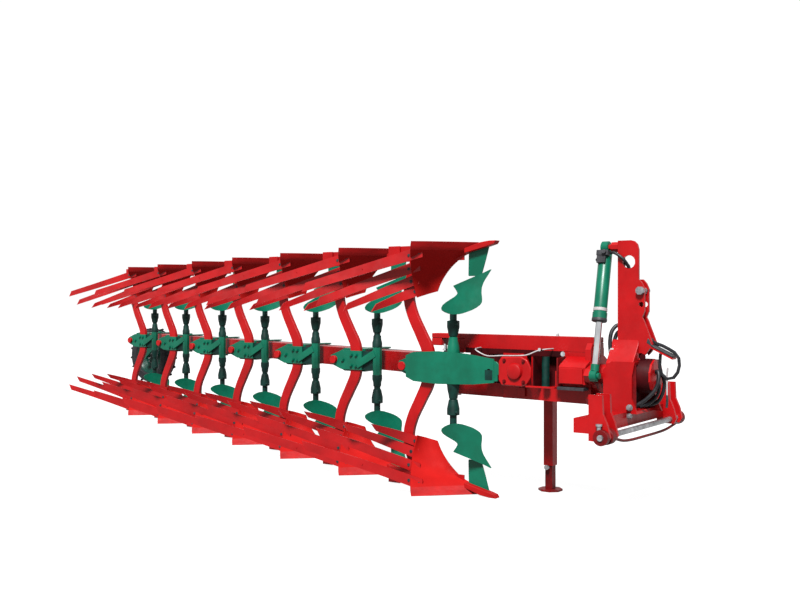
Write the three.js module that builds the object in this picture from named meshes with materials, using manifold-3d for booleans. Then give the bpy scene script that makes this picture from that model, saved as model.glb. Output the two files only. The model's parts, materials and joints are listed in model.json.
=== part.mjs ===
import * as THREE from "three";
import { mergeVertices } from "three/addons/utils/BufferGeometryUtils.js";
import Module from "manifold-3d";

// A seven-furrow mounted reversible plough, standing on its lower bodies and its parking stand.
// Millimetres. +X is the direction of travel, +Y is left, +Z is up.
// The lower bodies turn the soil to the right. The upper ones are their mirror image.

const wasm = await Module();
wasm.setup();

// Driving dimensions
const FURROWS = 7;
const BODY_SPACING = 1000; // pivot to pivot along the beam
const BEAM_ANGLE = 19; // degrees between the beam and the direction of travel
const BODY_SPAN = 1836; // lower share plane to upper share plane
const RUNNING_GAP = 0.5; // between parts that turn or slide on each other
const SEAT_GAP = 0.3; // between parts that are bolted or pinned face to face
const OVERRUN = 10; // how far a cutting tool passes the face that it cuts

// Body: share, shin, slats and landside. Its origin is the tip of the point, on the share plane.
const BODY_LENGTH = 1320; // tip of the point to the tail of the longest slat
const BODY_WIDTH = 610; // landside to the tail of the longest slat
const BODY_HEIGHT = 500; // share plane to the top of the highest slat
const MOULDBOARD_WALL = 10;
const MOULDBOARD_BOW = 34; // hollow of the mouldboard across its width
const SHARE_WALL = 13;
const SHARE_LAP = 4; // how far the share stands proud of the mouldboard
const SLAT_WALL = 9;
const SLAT_WIDTH = 84;
const SLAT_BOW = 46;
const STAY_SIZE = 14;
const POINT_LENGTH = 265;
const POINT_WIDTH = 62;
const POINT_DEPTH = 30;
const LANDSIDE_TAIL = 348; // landside's end ahead of the tail of the longest slat
const LANDSIDE_HEIGHT = 120;
const LANDSIDE_WALL = 14;
const LANDSIDE_LIFT = 12; // landside's lower edge above the share plane
const FIN_HEIGHT = 220;
const FIN_WALL = 8;

// Legs, brackets and skimmers. Their origin is the vertical pivot pin of the station.
const LEG_PLACE = 0.42424; // leg behind the tip of the point, as a share of the body's length
const LEG_INSET = 58; // leg's mid-plane right of the tip of the point
const LEG_OFFSET = 265; // pivot pin left of the leg's mid-plane
const LEG_WALL = 34;
const LEG_WIDTH = 92;
const LEG_SWEEP = 172; // how far the leg bows back
const CHEEK_WALL = 12;
const CHEEK_FRONT = 80;
const CHEEK_REAR = 250;
const CHEEK_HEIGHT = 156;
const CONSOLE_FRONT = 590;
const CONSOLE_REAR = 170;
const CONSOLE_HEIGHT = 226;
const CONSOLE_BOW = 14; // how much the console is higher at its middle
const LUG_WALL = 12;
const LUG_GAP = 3; // between a lug and the beam
const PIVOT_RADIUS = 22;
const LEVER_OFFSET = 150; // pivot pin to the steering rod
const STEM_BACK = 340; // skimmer stem behind the tip of the point
const STEM_RADIUS = 26;
const SLEEVE_RADIUS = 39;
const SLEEVE_HEIGHT = 230;
const SKIMMER_WIDTH = 330;
const SKIMMER_HEIGHT = 335;
const SKIMMER_LIFT = 205; // skimmer's tip above the share plane
const SKIMMER_LEAD = 65; // skimmer's tip behind the tip of the point
const SKIMMER_INSET = 20; // skimmer's tip left of the tip of the point
const SKIMMER_WALL = 8;
const SKIMMER_HEADING = 42; // degrees of the blade from the direction of travel
const SKIMMER_BOW = 30;
const BOLT_RADIUS = 21;
const BOLT_HEAD = 15;

// Beam and its steering
const BEAM_SIZE = 160;
const BEAM_WALL = 10;
const BEAM_NOSE = 105; // beam ahead of the main pivot
const BEAM_TAIL = 200; // beam behind the last station
const NECK = 120; // main pivot to the first station
const STEERING_ROD_RADIUS = 16;
const STEERING_EYE_RADIUS = 30;
const WIDTH_LEVER = 161; // main pivot to the width cylinder's pin
const WIDTH_BARREL_RADIUS = 38;
const WIDTH_ROD_RADIUS = 18;
const WIDTH_BARREL_LENGTH = 360;
const WIDTH_ROD_SHOWN = 130;
const WIDTH_SWING = 11; // degrees that the beam swings out

// Front frame: two bars between the turnover shaft and the main pivot
const TIP_FROM_AXIS = 30; // tip of the first point right of the turnover axis
const TIP_FROM_CRANK = 810; // tip of the first point behind the crank plane
const BAR_SIZE = 100;
const BAR_RISE = 155; // bar's centre line from the mid-plane
const HEAD_WIDTH = 210;
const HEAD_WALL = 40;
const HEAD_LENGTH = 270;
const CRANK_RADIUS = 190;
const CRANK_WALL = 36;
const SHAFT_RADIUS = 65;
const FLANGE_RADIUS = 112;
const FLANGE_WALL = 16;
const MAIN_PIN_RADIUS = 30;
const SPACER_LENGTH = 190;
const STAND_X = 640;
const STAND_Y = 450;
const STAND_TUBE = 74;
const STAND_WALL = 8;
const STAND_TOP = 130; // top of the stand's sleeve below the mid-plane
const STAND_SHOWN = 188; // leg between its sleeve and the ground
const STAND_FOOT_WIDTH = 180;
const STAND_FOOT_WALL = 14;
const STAND_PIN_RADIUS = 11;
const STAND_HOLES = 4; // holes down the leg for the pin

// Headstock and turnover cylinder
const HEAD_GAP = 45; // crank plane to the rear face of the headstock
const HOUSING_LENGTH = 285;
const HOUSING_RADIUS = 105;
const BOX_HALF = 150; // half the width of the box round the housing
const BOX_TOP = 95;
const BOX_DROP = 235;
const MAST_HEIGHT = 880; // mast's top above the mid-plane
const MAST_GAP = 56; // between the two cheeks of the mast
const MAST_WALL = 18;
const MAST_LENGTH = 143;
const MAST_REAR = 101;
const TOP_PIN_RADIUS = 16;
const TOP_HOLE_HIGH = 552;
const TOP_HOLE_LOW = 463;
const TOP_HOLE_FORWARD = 260;
const PORT_HOLE_RADIUS = 44;
const WING_SPAN = 1250; // over the outer faces of the lower-link plates
const WING_SIZE = 80;
const LINK_HEIGHT = 250; // top of a lower-link plate above the cross shaft
const LINK_SLOT = 92; // between the two plates of a lower-link clevis
const LINK_WALL = 22;
const CROSS_SHAFT_DROP = 330;
const CROSS_SHAFT_FORWARD = 253;
const CROSS_SHAFT_RADIUS = 18;
const CROSS_COLLAR_RADIUS = 46;
const CYLINDER_DROP = 40; // cylinder's top pin below the mast's top
const CYLINDER_RADIUS = 44;
const BARREL_LENGTH = 400;
const CYLINDER_ROD_RADIUS = 22;
const CYLINDER_EYE_RADIUS = 42;
const CYLINDER_EYE_WALL = 50;
const CYLINDER_PIN_RADIUS = 20;
const HOSE_RADIUS = 11;
const HOLDER_REACH = 135; // hose holder ahead of the housing
const HOLDER_TOP = 190;
const HOLDER_FALL = 65; // how far the holder slopes down to its end
const HOLDER_WALL = 12;

// Depth wheel
const WHEEL_RADIUS = 370;
const TYRE_WIDTH = 200;
const RIM_RADIUS = 235;
const RIM_WALL = 9;
const AXLE_RADIUS = 30;
const WHEEL_BACK = 520; // wheel's axle behind the last station's pivot
const WHEEL_LEFT = 325; // wheel's mid-plane left of the last station's pivot
const WHEEL_DROP = 230;
const WHEEL_ARM_BACK = 120;
const WHEEL_ARM_WALL = 26;
const WHEEL_ARM_WIDTH = 96;
const LUG_COUNT = 12;
const LUG_DEPTH = 22;
const TYRE_SHOULDER = 30; // rounding of the tyre's four corners

// Tolerances and smoothness of the round stretches
const MERGE_DISTANCE = 0.001;
const ROUND = { small: 4, middle: 6, large: 10 }; // half the sides of a circle

const paint = (colour, roughness, metalness) => new THREE.MeshStandardMaterial({
  color: new THREE.Color(colour),
  roughness,
  metalness,
  flatShading: true,
});
const FINISH = {
  red: paint("#d9141c", 0.38, 0.1),
  green: paint("#00805a", 0.42, 0.1),
  steel: paint("#8b8f92", 0.45, 0.85),
  chrome: paint("#c9cdd1", 0.12, 1),
  rubber: paint("#1b1c1e", 0.85, 0),
  rim: paint("#14543e", 0.5, 0.1),
};

// Solids

function solid(geometry) {
  const loose = geometry.index ? geometry.toNonIndexed() : geometry.clone();
  loose.deleteAttribute("normal");
  loose.deleteAttribute("uv");
  const merged = mergeVertices(loose, MERGE_DISTANCE);
  const corners = [];
  const index = merged.index.array;
  for (let i = 0; i < index.length; i += 3) {
    const [a, b, c] = [index[i], index[i + 1], index[i + 2]];
    if (a !== b && b !== c && c !== a) corners.push([a, b, c]);
  }
  const build = (faces) => new wasm.Manifold(new wasm.Mesh({
    numProp: 3,
    vertProperties: merged.attributes.position.array,
    triVerts: new Uint32Array(faces.flat()),
  }));
  const made = build(corners);
  return made.volume() < 0 ? build(corners.map(([a, b, c]) => [a, c, b])) : made;
}

const asSolid = (shape) => (shape.isBufferGeometry ? solid(shape) : shape);
const join = (...shapes) => shapes.map(asSolid).reduce((sum, next) => sum.add(next));
const cut = (base, ...tools) => tools.map(asSolid).reduce((rest, tool) => rest.subtract(tool), asSolid(base));

function geometryOf(made) {
  const { numProp, vertProperties, triVerts } = made.getMesh();
  const corners = new Float32Array((vertProperties.length / numProp) * 3);
  for (let i = 0; i < vertProperties.length / numProp; i += 1) {
    corners.set(vertProperties.subarray(i * numProp, i * numProp + 3), i * 3);
  }
  const geometry = new THREE.BufferGeometry();
  geometry.setAttribute("position", new THREE.BufferAttribute(corners, 3));
  geometry.setIndex(new THREE.BufferAttribute(new Uint32Array(triVerts), 1));
  geometry.computeVertexNormals();
  return geometry;
}

const rotation = (axis, degrees) => (
  new THREE.Matrix4().makeRotationAxis(axis, THREE.MathUtils.degToRad(degrees))
);
const upright = new THREE.Vector3(0, 0, 1);
const turned = (shape, degrees) => geometryOf(asSolid(shape)).applyMatrix4(rotation(upright, degrees));
const upsideDown = (shape) => (
  geometryOf(asSolid(shape)).applyMatrix4(new THREE.Matrix4().makeScale(1, 1, -1))
);

function addMesh(group, name, shape, material) {
  const mesh = new THREE.Mesh(geometryOf(asSolid(shape)), material.clone());
  mesh.name = name;
  group.add(mesh);
  return mesh;
}

function addGroup(parent, name, x = 0, y = 0, z = 0) {
  const group = new THREE.Group();
  group.name = name;
  group.position.set(x, y, z);
  parent.add(group);
  return group;
}

// Outlines lie in the plane across the axis: (y, z) for x, (x, z) for y, and (x, y) for z
const point = (x, y, z) => new THREE.Vector3(x, y, z);
const FRAMES = {
  x: new THREE.Matrix4().makeBasis(point(0, 1, 0), point(0, 0, 1), point(1, 0, 0)),
  y: new THREE.Matrix4().makeBasis(point(1, 0, 0), point(0, 0, 1), point(0, -1, 0)),
  z: new THREE.Matrix4(),
};

function prism(axis, outline, from, to, segments = ROUND.small) {
  const corners = outline.map(([a, b]) => new THREE.Vector2(a, b));
  const shape = outline.isShape ? outline : new THREE.Shape(corners);
  const depth = to - from;
  const made = new THREE.ExtrudeGeometry(shape, { depth, bevelEnabled: false, curveSegments: segments });
  made.applyMatrix4(FRAMES[axis]);
  if (axis === "x") made.translate(from, 0, 0);
  if (axis === "y") made.translate(0, to, 0);
  if (axis === "z") made.translate(0, 0, from);
  return made;
}

const rectangle = (a0, a1, b0, b1) => [[a0, b0], [a1, b0], [a1, b1], [a0, b1]];
const box = (x0, x1, y0, y1, z0, z1) => prism("z", rectangle(x0, x1, y0, y1), z0, z1);

function circle(a, b, radius, segments) {
  const sides = 2 * segments;
  const step = (2 * Math.PI) / sides;
  const corner = (_, i) => [a + radius * Math.cos((i + 0.5) * step), b + radius * Math.sin((i + 0.5) * step)];
  return Array.from({ length: sides }, corner);
}

const bar = (axis, a, b, radius, from, to, segments = ROUND.small) => (
  prism(axis, circle(a, b, radius, segments), from, to)
);

// A hole whose flats clear a pin of the given radius, however either is turned
const hole = (axis, a, b, pin, from, to, segments = ROUND.small, gap = RUNNING_GAP) => (
  bar(axis, a, b, (pin + gap) / Math.cos(Math.PI / (2 * segments)), from, to, segments)
);

// A flat strip along a smooth centre line, as a closed outline
function ribbon(centre, widths, samples) {
  const curve = new THREE.SplineCurve(centre.map(([a, b]) => new THREE.Vector2(a, b)));
  const left = [];
  const right = [];
  for (let i = 0; i <= samples; i += 1) {
    const share = i / samples;
    const at = curve.getPoint(share);
    const along = curve.getTangent(share);
    const place = share * (widths.length - 1);
    const low = Math.min(Math.floor(place), widths.length - 2);
    const half = THREE.MathUtils.lerp(widths[low], widths[low + 1], place - low) / 2;
    left.push([at.x - along.y * half, at.y + along.x * half]);
    right.unshift([at.x + along.y * half, at.y - along.x * half]);
  }
  return [...right, ...left];
}

// A plate with a wall behind a grid of points. Rows go up and columns go back along the plate.
function plate(rows, wall) {
  const last = rows.length - 1;
  const end = rows[0].length - 1;
  const front = rows.flat();
  const back = rows.flatMap((row, i) => row.map((at, j) => {
    const up = rows[Math.min(i + 1, last)][j].clone().sub(rows[Math.max(i - 1, 0)][j]);
    const along = row[Math.min(j + 1, end)].clone().sub(row[Math.max(j - 1, 0)]);
    return at.clone().addScaledVector(up.cross(along).normalize(), -wall);
  }));
  const corners = [...front, ...back];
  const at = (i, j) => i * (end + 1) + j;
  const faces = [];
  const quad = (a, b, c, d) => faces.push(a, b, c, a, c, d);
  for (let i = 0; i < last; i += 1) {
    for (let j = 0; j < end; j += 1) {
      const loop = [at(i, j), at(i + 1, j), at(i + 1, j + 1), at(i, j + 1)];
      quad(...loop);
      quad(...loop.map((corner) => corner + front.length).reverse());
    }
  }
  const rim = [];
  for (let j = 0; j < end; j += 1) rim.push(at(0, j));
  for (let i = 0; i < last; i += 1) rim.push(at(i, end));
  for (let j = end; j > 0; j -= 1) rim.push(at(last, j));
  for (let i = last; i > 0; i -= 1) rim.push(at(i, 0));
  rim.forEach((corner, k) => {
    const next = rim[(k + 1) % rim.length];
    quad(corner, next, next + front.length, corner + front.length);
  });
  const geometry = new THREE.BufferGeometry();
  const places = corners.flatMap((corner) => corner.toArray());
  geometry.setAttribute("position", new THREE.Float32BufferAttribute(places, 3));
  geometry.setIndex(faces);
  return geometry;
}

function tube(route, radius, segments, steps) {
  const section = new THREE.Shape(circle(0, 0, radius, segments).map(([a, b]) => new THREE.Vector2(a, b)));
  const path = new THREE.CatmullRomCurve3(route, false, "centripetal");
  return new THREE.ExtrudeGeometry(section, { steps, extrudePath: path, bevelEnabled: false });
}

const radians = THREE.MathUtils.degToRad;
const consoleLink = { x: CONSOLE_FRONT * 0.84, y: -LEG_OFFSET + LEG_WALL * 1.8 }; // steering link's pin
const beamAngle = radians(BEAM_ANGLE);
const halfSpan = BODY_SPAN / 2;
const legSetback = BODY_LENGTH * LEG_PLACE;
const stemForward = legSetback - STEM_BACK;
const standBottom = halfSpan - STAND_SHOWN;
const cylinderTop = MAST_HEIGHT - CYLINDER_DROP;
const holderTop = (x) => HOLDER_TOP - (HOLDER_FALL * (x - HEAD_GAP - HOUSING_LENGTH)) / HOLDER_REACH;

// Body

const inBody = ([x, y, z]) => point(-x * BODY_LENGTH, -y * BODY_WIDTH, z * BODY_HEIGHT);
const LAND = -0.036; // landside face, as a share of the body's width
const shinShares = [
  [0.13, LAND, 0.012], [0.162, LAND, 0.13], [0.24, LAND, 0.228],
  [0.33, LAND, 0.42], [0.382, LAND, 0.6], [0.404, LAND, 0.72],
];
const rearShares = [
  [0.409, 0.508, 0], [0.422, 0.48, 0.12], [0.47, 0.32, 0.32],
  [0.49, 0.22, 0.51], [0.49, 0.17, 0.66], [0.482, 0.14, 0.81],
];
const shinCurve = new THREE.CatmullRomCurve3(shinShares.map(inBody));
const rearCurve = new THREE.CatmullRomCurve3(rearShares.map(inBody));
const hollow = point(-Math.SQRT1_2, Math.SQRT1_2, 0);

// A place on the mouldboard: up from the share's edge, and back from the shin
function onMouldboard(up, back) {
  const at = shinCurve.getPoint(up).lerp(rearCurve.getPoint(up), back);
  return at.addScaledVector(hollow, MOULDBOARD_BOW * 4 * back * (1 - back) * Math.min(1, 2 * up));
}

function grid(rows, columns, place) {
  const steps = (count) => Array.from({ length: count }, (_, i) => i / (count - 1));
  return steps(rows).map((row) => steps(columns).map((column) => place(row, column)));
}

// Each slat: where it starts up the mouldboard, and its tail as shares of the body
const slatShares = [
  { start: 0.22, tail: [1, 0.968, 0.66], lean: [0.3, 0.25, 1] },
  { start: 0.43, tail: [0.925, 0.893, 0.87], lean: [0.3, 0.35, 0.95] },
  { start: 0.64, tail: [0.766, 0.779, 0.955], lean: [0.25, 0.5, 0.85] },
  { start: 0.86, tail: [0.614, 0.64, 0.965], lean: [0.1, 0.65, 0.75] },
];

function slatPlace({ start: foot, tail, lean }, along) {
  const root = onMouldboard(foot, 0.8).addScaledVector(hollow, MOULDBOARD_WALL * 0.2);
  const end = inBody(tail);
  const at = root.clone().lerp(end, along).addScaledVector(hollow, SLAT_BOW * 4 * along * (1 - along));
  const start = point(0, 0, 1);
  const leaning = point(-lean[0], -lean[1], lean[2]).normalize();
  return { at, up: start.lerp(leaning, along).normalize() };
}

function slat(shares) {
  const rows = grid(2, 3, (row, along) => {
    const { at, up } = slatPlace(shares, along);
    const taper = 1 - 0.12 * along;
    return at.addScaledVector(up, (row - 0.5) * SLAT_WIDTH * taper);
  });
  return plate(rows, SLAT_WALL);
}

const landRear = LANDSIDE_TAIL - BODY_LENGTH;

// The stay runs behind the leg, from the landside to the back of the lowest slat
function makeStay() {
  const { at } = slatPlace(slatShares[0], 0.5);
  const rootHeight = LANDSIDE_LIFT + LANDSIDE_HEIGHT * 0.48;
  const root = point(landRear + LANDSIDE_HEIGHT * 0.84, inBody([0, LAND / 2, 0]).y, rootHeight);
  return tube([root, at.addScaledVector(hollow, SLAT_WALL / 2)], STAY_SIZE, 2, 1);
}

function makeBody() {
  const chest = plate(grid(4, 3, (row, back) => onMouldboard(0.1 + 0.9 * row, back)), MOULDBOARD_WALL);
  const proud = hollow.clone().multiplyScalar(-SHARE_LAP);
  const share = plate(grid(2, 2, (row, back) => onMouldboard(0.2 * row, back).add(proud)), SHARE_WALL);
  const half = POINT_WIDTH / 2;
  const tip = prism("y", [
    [0, 0], [-POINT_DEPTH, POINT_DEPTH], [-POINT_LENGTH, POINT_DEPTH * 2.9],
    [-POINT_LENGTH, POINT_DEPTH * 1.6], [-POINT_LENGTH / 2, POINT_DEPTH * 0.3],
  ], -half, half);
  const inner = -LAND * BODY_WIDTH - LANDSIDE_WALL;
  const landside = box(
    landRear, -POINT_LENGTH * 1.1, inner, inner + LANDSIDE_WALL - SEAT_GAP,
    LANDSIDE_LIFT, LANDSIDE_LIFT + LANDSIDE_HEIGHT,
  );
  const legLeft = -LEG_INSET + LEG_WALL / 2 + SEAT_GAP;
  const frogPoints = [[0.33, 0.06], [0.33, 0.16], [0.45, 0.5], [0.52, 0.68], [0.59, 0.62], [0.55, 0.06]];
  const frog = prism("y", frogPoints.map(([x, z]) => [-x * BODY_LENGTH, z * BODY_HEIGHT]).reverse(),
    legLeft, inner + LANDSIDE_WALL / 2);
  const finTop = POINT_DEPTH + FIN_HEIGHT;
  const fin = prism("y", [
    [-POINT_LENGTH * 0.95, POINT_DEPTH], [-POINT_LENGTH * 0.3, POINT_DEPTH],
    [-POINT_LENGTH * 0.56, finTop], [-POINT_LENGTH * 0.97, finTop],
  ], inner + LANDSIDE_WALL / 2, inner + LANDSIDE_WALL / 2 + FIN_WALL);
  const slats = slatShares.map(slat);
  const ground = box(-BODY_LENGTH, POINT_LENGTH, -BODY_WIDTH, BODY_WIDTH, -POINT_DEPTH, 0);
  return cut(join(chest, share, tip, landside, frog, fin, ...slats, makeStay()), ground);
}

// Leg, from the middle of the beam down to the frog

function makeLeg() {
  const reach = halfSpan - 0.3 * BODY_HEIGHT;
  const legShares = [[0, 0], [0, 0.15], [0.35, 0.31], [0.8, 0.5], [1, 0.66], [0.9, 0.83], [0.55, 1]];
  const centre = legShares.map(([back, down]) => [-back * LEG_SWEEP, -down * reach]);
  const widths = [1.15, 1.1, 1, 0.95, 0.95, 1, 1.05].map((width) => width * LEG_WIDTH);
  const wide = ribbon(centre, widths, 9);
  const left = -LEG_OFFSET + LEG_WALL / 2;
  const leg = prism("y", wide, left - LEG_WALL, left);
  const above = box(-LEG_SWEEP, LEG_SWEEP, left - 2 * LEG_WALL, left + LEG_WALL, -RUNNING_GAP, LEG_WIDTH);
  return cut(leg, above);
}

// Skimmers: one round stem through its sleeve, with a small body at either end

const bladeHeading = radians(SKIMMER_HEADING);
const bladeAway = point(-Math.cos(bladeHeading), -Math.sin(bladeHeading), 0);
const bladeBehind = point(-Math.sin(bladeHeading), Math.cos(bladeHeading), 0);
const bladeTip = point(
  legSetback - SKIMMER_LEAD, LEG_INSET - LEG_OFFSET + SKIMMER_INSET, SKIMMER_LIFT - halfSpan,
);

function makeSkimmer() {
  // Height, front and rear edge of the blade, as shares of its height and width
  const bladeShares = [
    [0, 0, 0.03], [0.35, 0.19, 0.83], [0.5, 0.21, 0.73], [0.64, 0.2, 0.9], [0.8, 0.3, 1.1],
    [0.95, 0.66, 0.93],
  ];
  const rows = bladeShares.map(([up, start, end]) => [0, 0.5, 1].map((across) => {
    const along = THREE.MathUtils.lerp(start, end, across);
    const at = point(0, 0, up * SKIMMER_HEIGHT).addScaledVector(bladeAway, along * SKIMMER_WIDTH);
    const bow = SKIMMER_BOW * 4 * along * (1 - along) - SKIMMER_BOW * up * up;
    return at.addScaledVector(bladeBehind, bow);
  }));
  const blade = plate(rows, SKIMMER_WALL);
  blade.translate(bladeTip.x, bladeTip.y, bladeTip.z);
  return blade;
}

function makeSkimmers() {
  const y = -LEG_OFFSET;
  const x = stemForward;
  const low = SKIMMER_LIFT + 0.42 * SKIMMER_HEIGHT - halfSpan;
  const stem = bar("z", x, y, STEM_RADIUS, low, -low);
  // A block holds the blade off the stem
  const centre = point(x, y, 0);
  const reach = centre.clone().sub(bladeTip).dot(bladeBehind) - SKIMMER_BOW * 0.38;
  const corner = (away, behind) => {
    const at = centre.clone().addScaledVector(bladeAway, away).addScaledVector(bladeBehind, behind);
    return [at.x, at.y];
  };
  const wide = STEM_RADIUS * 0.8;
  const block = prism("z", [
    corner(-wide, 0), corner(-wide, -reach), corner(wide, -reach), corner(wide, 0),
  ], bladeTip.z + SKIMMER_HEIGHT * 0.66, bladeTip.z + SKIMMER_HEIGHT * 0.78);
  const blade = join(makeSkimmer(), block);
  return join(stem, blade, upsideDown(blade));
}

// Bracket: clevis for the two legs, lugs over the beam, holder of the skimmer stem

const legRight = -LEG_OFFSET - LEG_WALL / 2 - SEAT_GAP;
const legLeft = -LEG_OFFSET + LEG_WALL / 2 + SEAT_GAP;
const lugFrom = BEAM_SIZE / 2 + LUG_GAP;
const lugTo = lugFrom + LUG_WALL;
const cheekHalf = CHEEK_HEIGHT / 2;

function cheekOutline(half) {
  return [
    [CHEEK_FRONT, -half], [CHEEK_FRONT, half], [-CHEEK_REAR * 0.55, half],
    [-CHEEK_REAR, half * 0.45], [-CHEEK_REAR, -half * 0.45], [-CHEEK_REAR * 0.55, -half],
  ].reverse();
}

// The front bracket carries a long console plate outside its cheeks
function makeConsole(face) {
  const half = CONSOLE_HEIGHT / 2;
  const outline = [
    [CONSOLE_FRONT, -half * 0.78], [CONSOLE_FRONT, half * 0.7], [CONSOLE_FRONT * 0.62, half * 0.96],
    [CONSOLE_FRONT * 0.2, half + CONSOLE_BOW / 2], [-CONSOLE_REAR * 0.6, half * 0.96],
    [-CONSOLE_REAR, half * 0.72], [-CONSOLE_REAR, -half * 0.7], [-CONSOLE_REAR * 0.6, -half * 0.96],
    [CONSOLE_FRONT * 0.2, -half - CONSOLE_BOW / 2], [CONSOLE_FRONT * 0.7, -half * 0.96],
  ].reverse();
  const made = prism("y", outline, face, face + CHEEK_WALL);
  const { x, y } = consoleLink;
  const eye = STEERING_EYE_RADIUS;
  const earFrom = eye * 0.7 + RUNNING_GAP;
  const ears = [earFrom, -earFrom - LUG_WALL].map((from) => (
    box(x - eye, x + eye, face + CHEEK_WALL / 2, y + eye, from, from + LUG_WALL)
  ));
  const pin = bar("z", x, y, eye / 2, -eye, eye);
  const notch = bar("y", CONSOLE_FRONT * 0.93, -half * 0.1, BOLT_RADIUS, face - OVERRUN,
    face + CHEEK_WALL + OVERRUN);
  return cut(join(made, ...ears, pin), notch);
}

function makeBracket(isFront) {
  const right = prism("y", cheekOutline(cheekHalf), legRight - CHEEK_WALL, legRight);
  const left = prism("y", cheekOutline(lugTo), legLeft, legLeft + CHEEK_WALL);
  const sleeveRight = -LEG_OFFSET - SLEEVE_RADIUS - RUNNING_GAP - CHEEK_WALL;
  const outside = isFront ? sleeveRight + CHEEK_WALL / 2 : legRight - CHEEK_WALL / 2;
  // Front and rear blocks hold the cheeks apart, clear of the legs
  const spacers = [
    box(LEG_WIDTH * 0.72, CHEEK_FRONT, outside, legLeft + CHEEK_WALL / 2, -cheekHalf, cheekHalf),
    box(-CHEEK_REAR * 0.85, -CHEEK_REAR * 0.62, outside, legLeft + CHEEK_WALL / 2, -cheekHalf * 0.45,
      cheekHalf * 0.45),
  ];
  const lugPoints = [
    [CHEEK_FRONT, legLeft + CHEEK_WALL / 2], [PIVOT_RADIUS * 2, PIVOT_RADIUS * 2],
    [-PIVOT_RADIUS * 2, PIVOT_RADIUS * 2], [-CHEEK_REAR * 0.5, legLeft + CHEEK_WALL / 2],
  ];
  const leverPoints = [
    [CHEEK_FRONT, legLeft + CHEEK_WALL / 2], [STEERING_EYE_RADIUS, LEVER_OFFSET + STEERING_EYE_RADIUS],
    [-STEERING_EYE_RADIUS, LEVER_OFFSET + STEERING_EYE_RADIUS], [-CHEEK_REAR * 0.5, legLeft + CHEEK_WALL / 2],
  ];
  const lugs = [prism("z", leverPoints, lugFrom, lugTo), prism("z", lugPoints, -lugTo, -lugFrom)];
  const pivot = bar("z", 0, 0, PIVOT_RADIUS, -lugTo - BOLT_HEAD, lugTo + BOLT_HEAD);
  const sleeve = bar("z", stemForward, -LEG_OFFSET, SLEEVE_RADIUS, -SLEEVE_HEIGHT / 2, SLEEVE_HEIGHT / 2);
  const bore = bar("z", stemForward, -LEG_OFFSET, STEM_RADIUS + SEAT_GAP, -SLEEVE_HEIGHT, SLEEVE_HEIGHT);
  const armWide = LEG_WIDTH * 0.62;
  const armAt = (rise, from, to) => prism("y", ribbon(
    [[CHEEK_FRONT * 0.4, -rise * cheekHalf * 0.5], [stemForward, rise * cheekHalf * 0.8]],
    [armWide, armWide], 1,
  ), from, to);
  const arms = [armAt(1, legRight - 2 * CHEEK_WALL, legRight), armAt(-1, legLeft, legLeft + CHEEK_WALL)];
  const pieces = [right, left, ...spacers, ...lugs, pivot, sleeve, ...arms];
  if (isFront) pieces.push(makeConsole(sleeveRight));
  return cut(join(...pieces), bore);
}

// Places of the stations from the crank plane and the turnover axis

const firstPivot = {
  x: -TIP_FROM_CRANK - legSetback,
  y: -TIP_FROM_AXIS - LEG_INSET + LEG_OFFSET,
};
const mainPivot = {
  x: firstPivot.x + NECK * Math.cos(beamAngle),
  y: firstPivot.y - NECK * Math.sin(beamAngle),
};
const beamPlace = (along) => ({ x: -along * Math.cos(beamAngle), y: along * Math.sin(beamAngle) });
const stationAlong = (station) => NECK + station * BODY_SPACING;
const beamEnd = stationAlong(FURROWS - 1) + BEAM_TAIL;

// Beam, in the frame of the main pivot

function makeBeam() {
  const half = BEAM_SIZE / 2;
  const bore = half - BEAM_WALL;
  const outer = box(-beamEnd, BEAM_NOSE, -half, half, -half, half);
  const inner = box(-beamEnd - OVERRUN, BEAM_NOSE + OVERRUN, -bore, bore, -bore, bore);
  const stations = Array.from({ length: FURROWS }, (_, i) => stationAlong(i));
  const pinHole = (along, pin) => hole("z", -along, 0, pin, -BEAM_SIZE, BEAM_SIZE);
  const holes = [pinHole(0, MAIN_PIN_RADIUS), ...stations.map((along) => pinHole(along, PIVOT_RADIUS))];
  const beam = cut(outer, inner, ...holes);
  return turned(beam, -BEAM_ANGLE);
}

// Lug of the width cylinder, on the left of the beam
function makeWidthLug() {
  const low = -WIDTH_ROD_RADIUS - RUNNING_GAP - LUG_WALL;
  const tab = prism("z", [
    [MAIN_PIN_RADIUS * 1.4, BEAM_SIZE * 0.45], [MAIN_PIN_RADIUS, WIDTH_LEVER + BOLT_RADIUS],
    [-MAIN_PIN_RADIUS, WIDTH_LEVER + BOLT_RADIUS], [-MAIN_PIN_RADIUS * 2, BEAM_SIZE * 0.45],
  ], low, low + LUG_WALL);
  const pin = bar("z", 0, WIDTH_LEVER, WIDTH_ROD_RADIUS * 0.8, low, WIDTH_ROD_RADIUS + BOLT_HEAD);
  return join(tab, pin);
}

const lastPivot = beamPlace(stationAlong(FURROWS - 1));
const wheelArmPivot = { x: lastPivot.x - WHEEL_ARM_BACK, z: 0 };
const wheelAxle = { x: lastPivot.x - WHEEL_BACK, z: -WHEEL_DROP };
const wheelMiddle = lastPivot.y + WHEEL_LEFT;
const armOuter = wheelMiddle - TYRE_WIDTH / 2 - 2 * BOLT_HEAD;
const armInner = armOuter - WHEEL_ARM_WALL;

function makeWheelBoss() {
  const beamSide = lastPivot.y + Math.tan(beamAngle) * WHEEL_ARM_BACK + BEAM_SIZE / 2 / Math.cos(beamAngle);
  const boss = bar("y", wheelArmPivot.x, 0, AXLE_RADIUS * 1.5, beamSide - BEAM_SIZE / 4,
    armInner - RUNNING_GAP);
  const pin = bar("y", wheelArmPivot.x, 0, AXLE_RADIUS, beamSide - BEAM_SIZE / 4, armOuter + BOLT_HEAD);
  return join(boss, pin);
}

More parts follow.
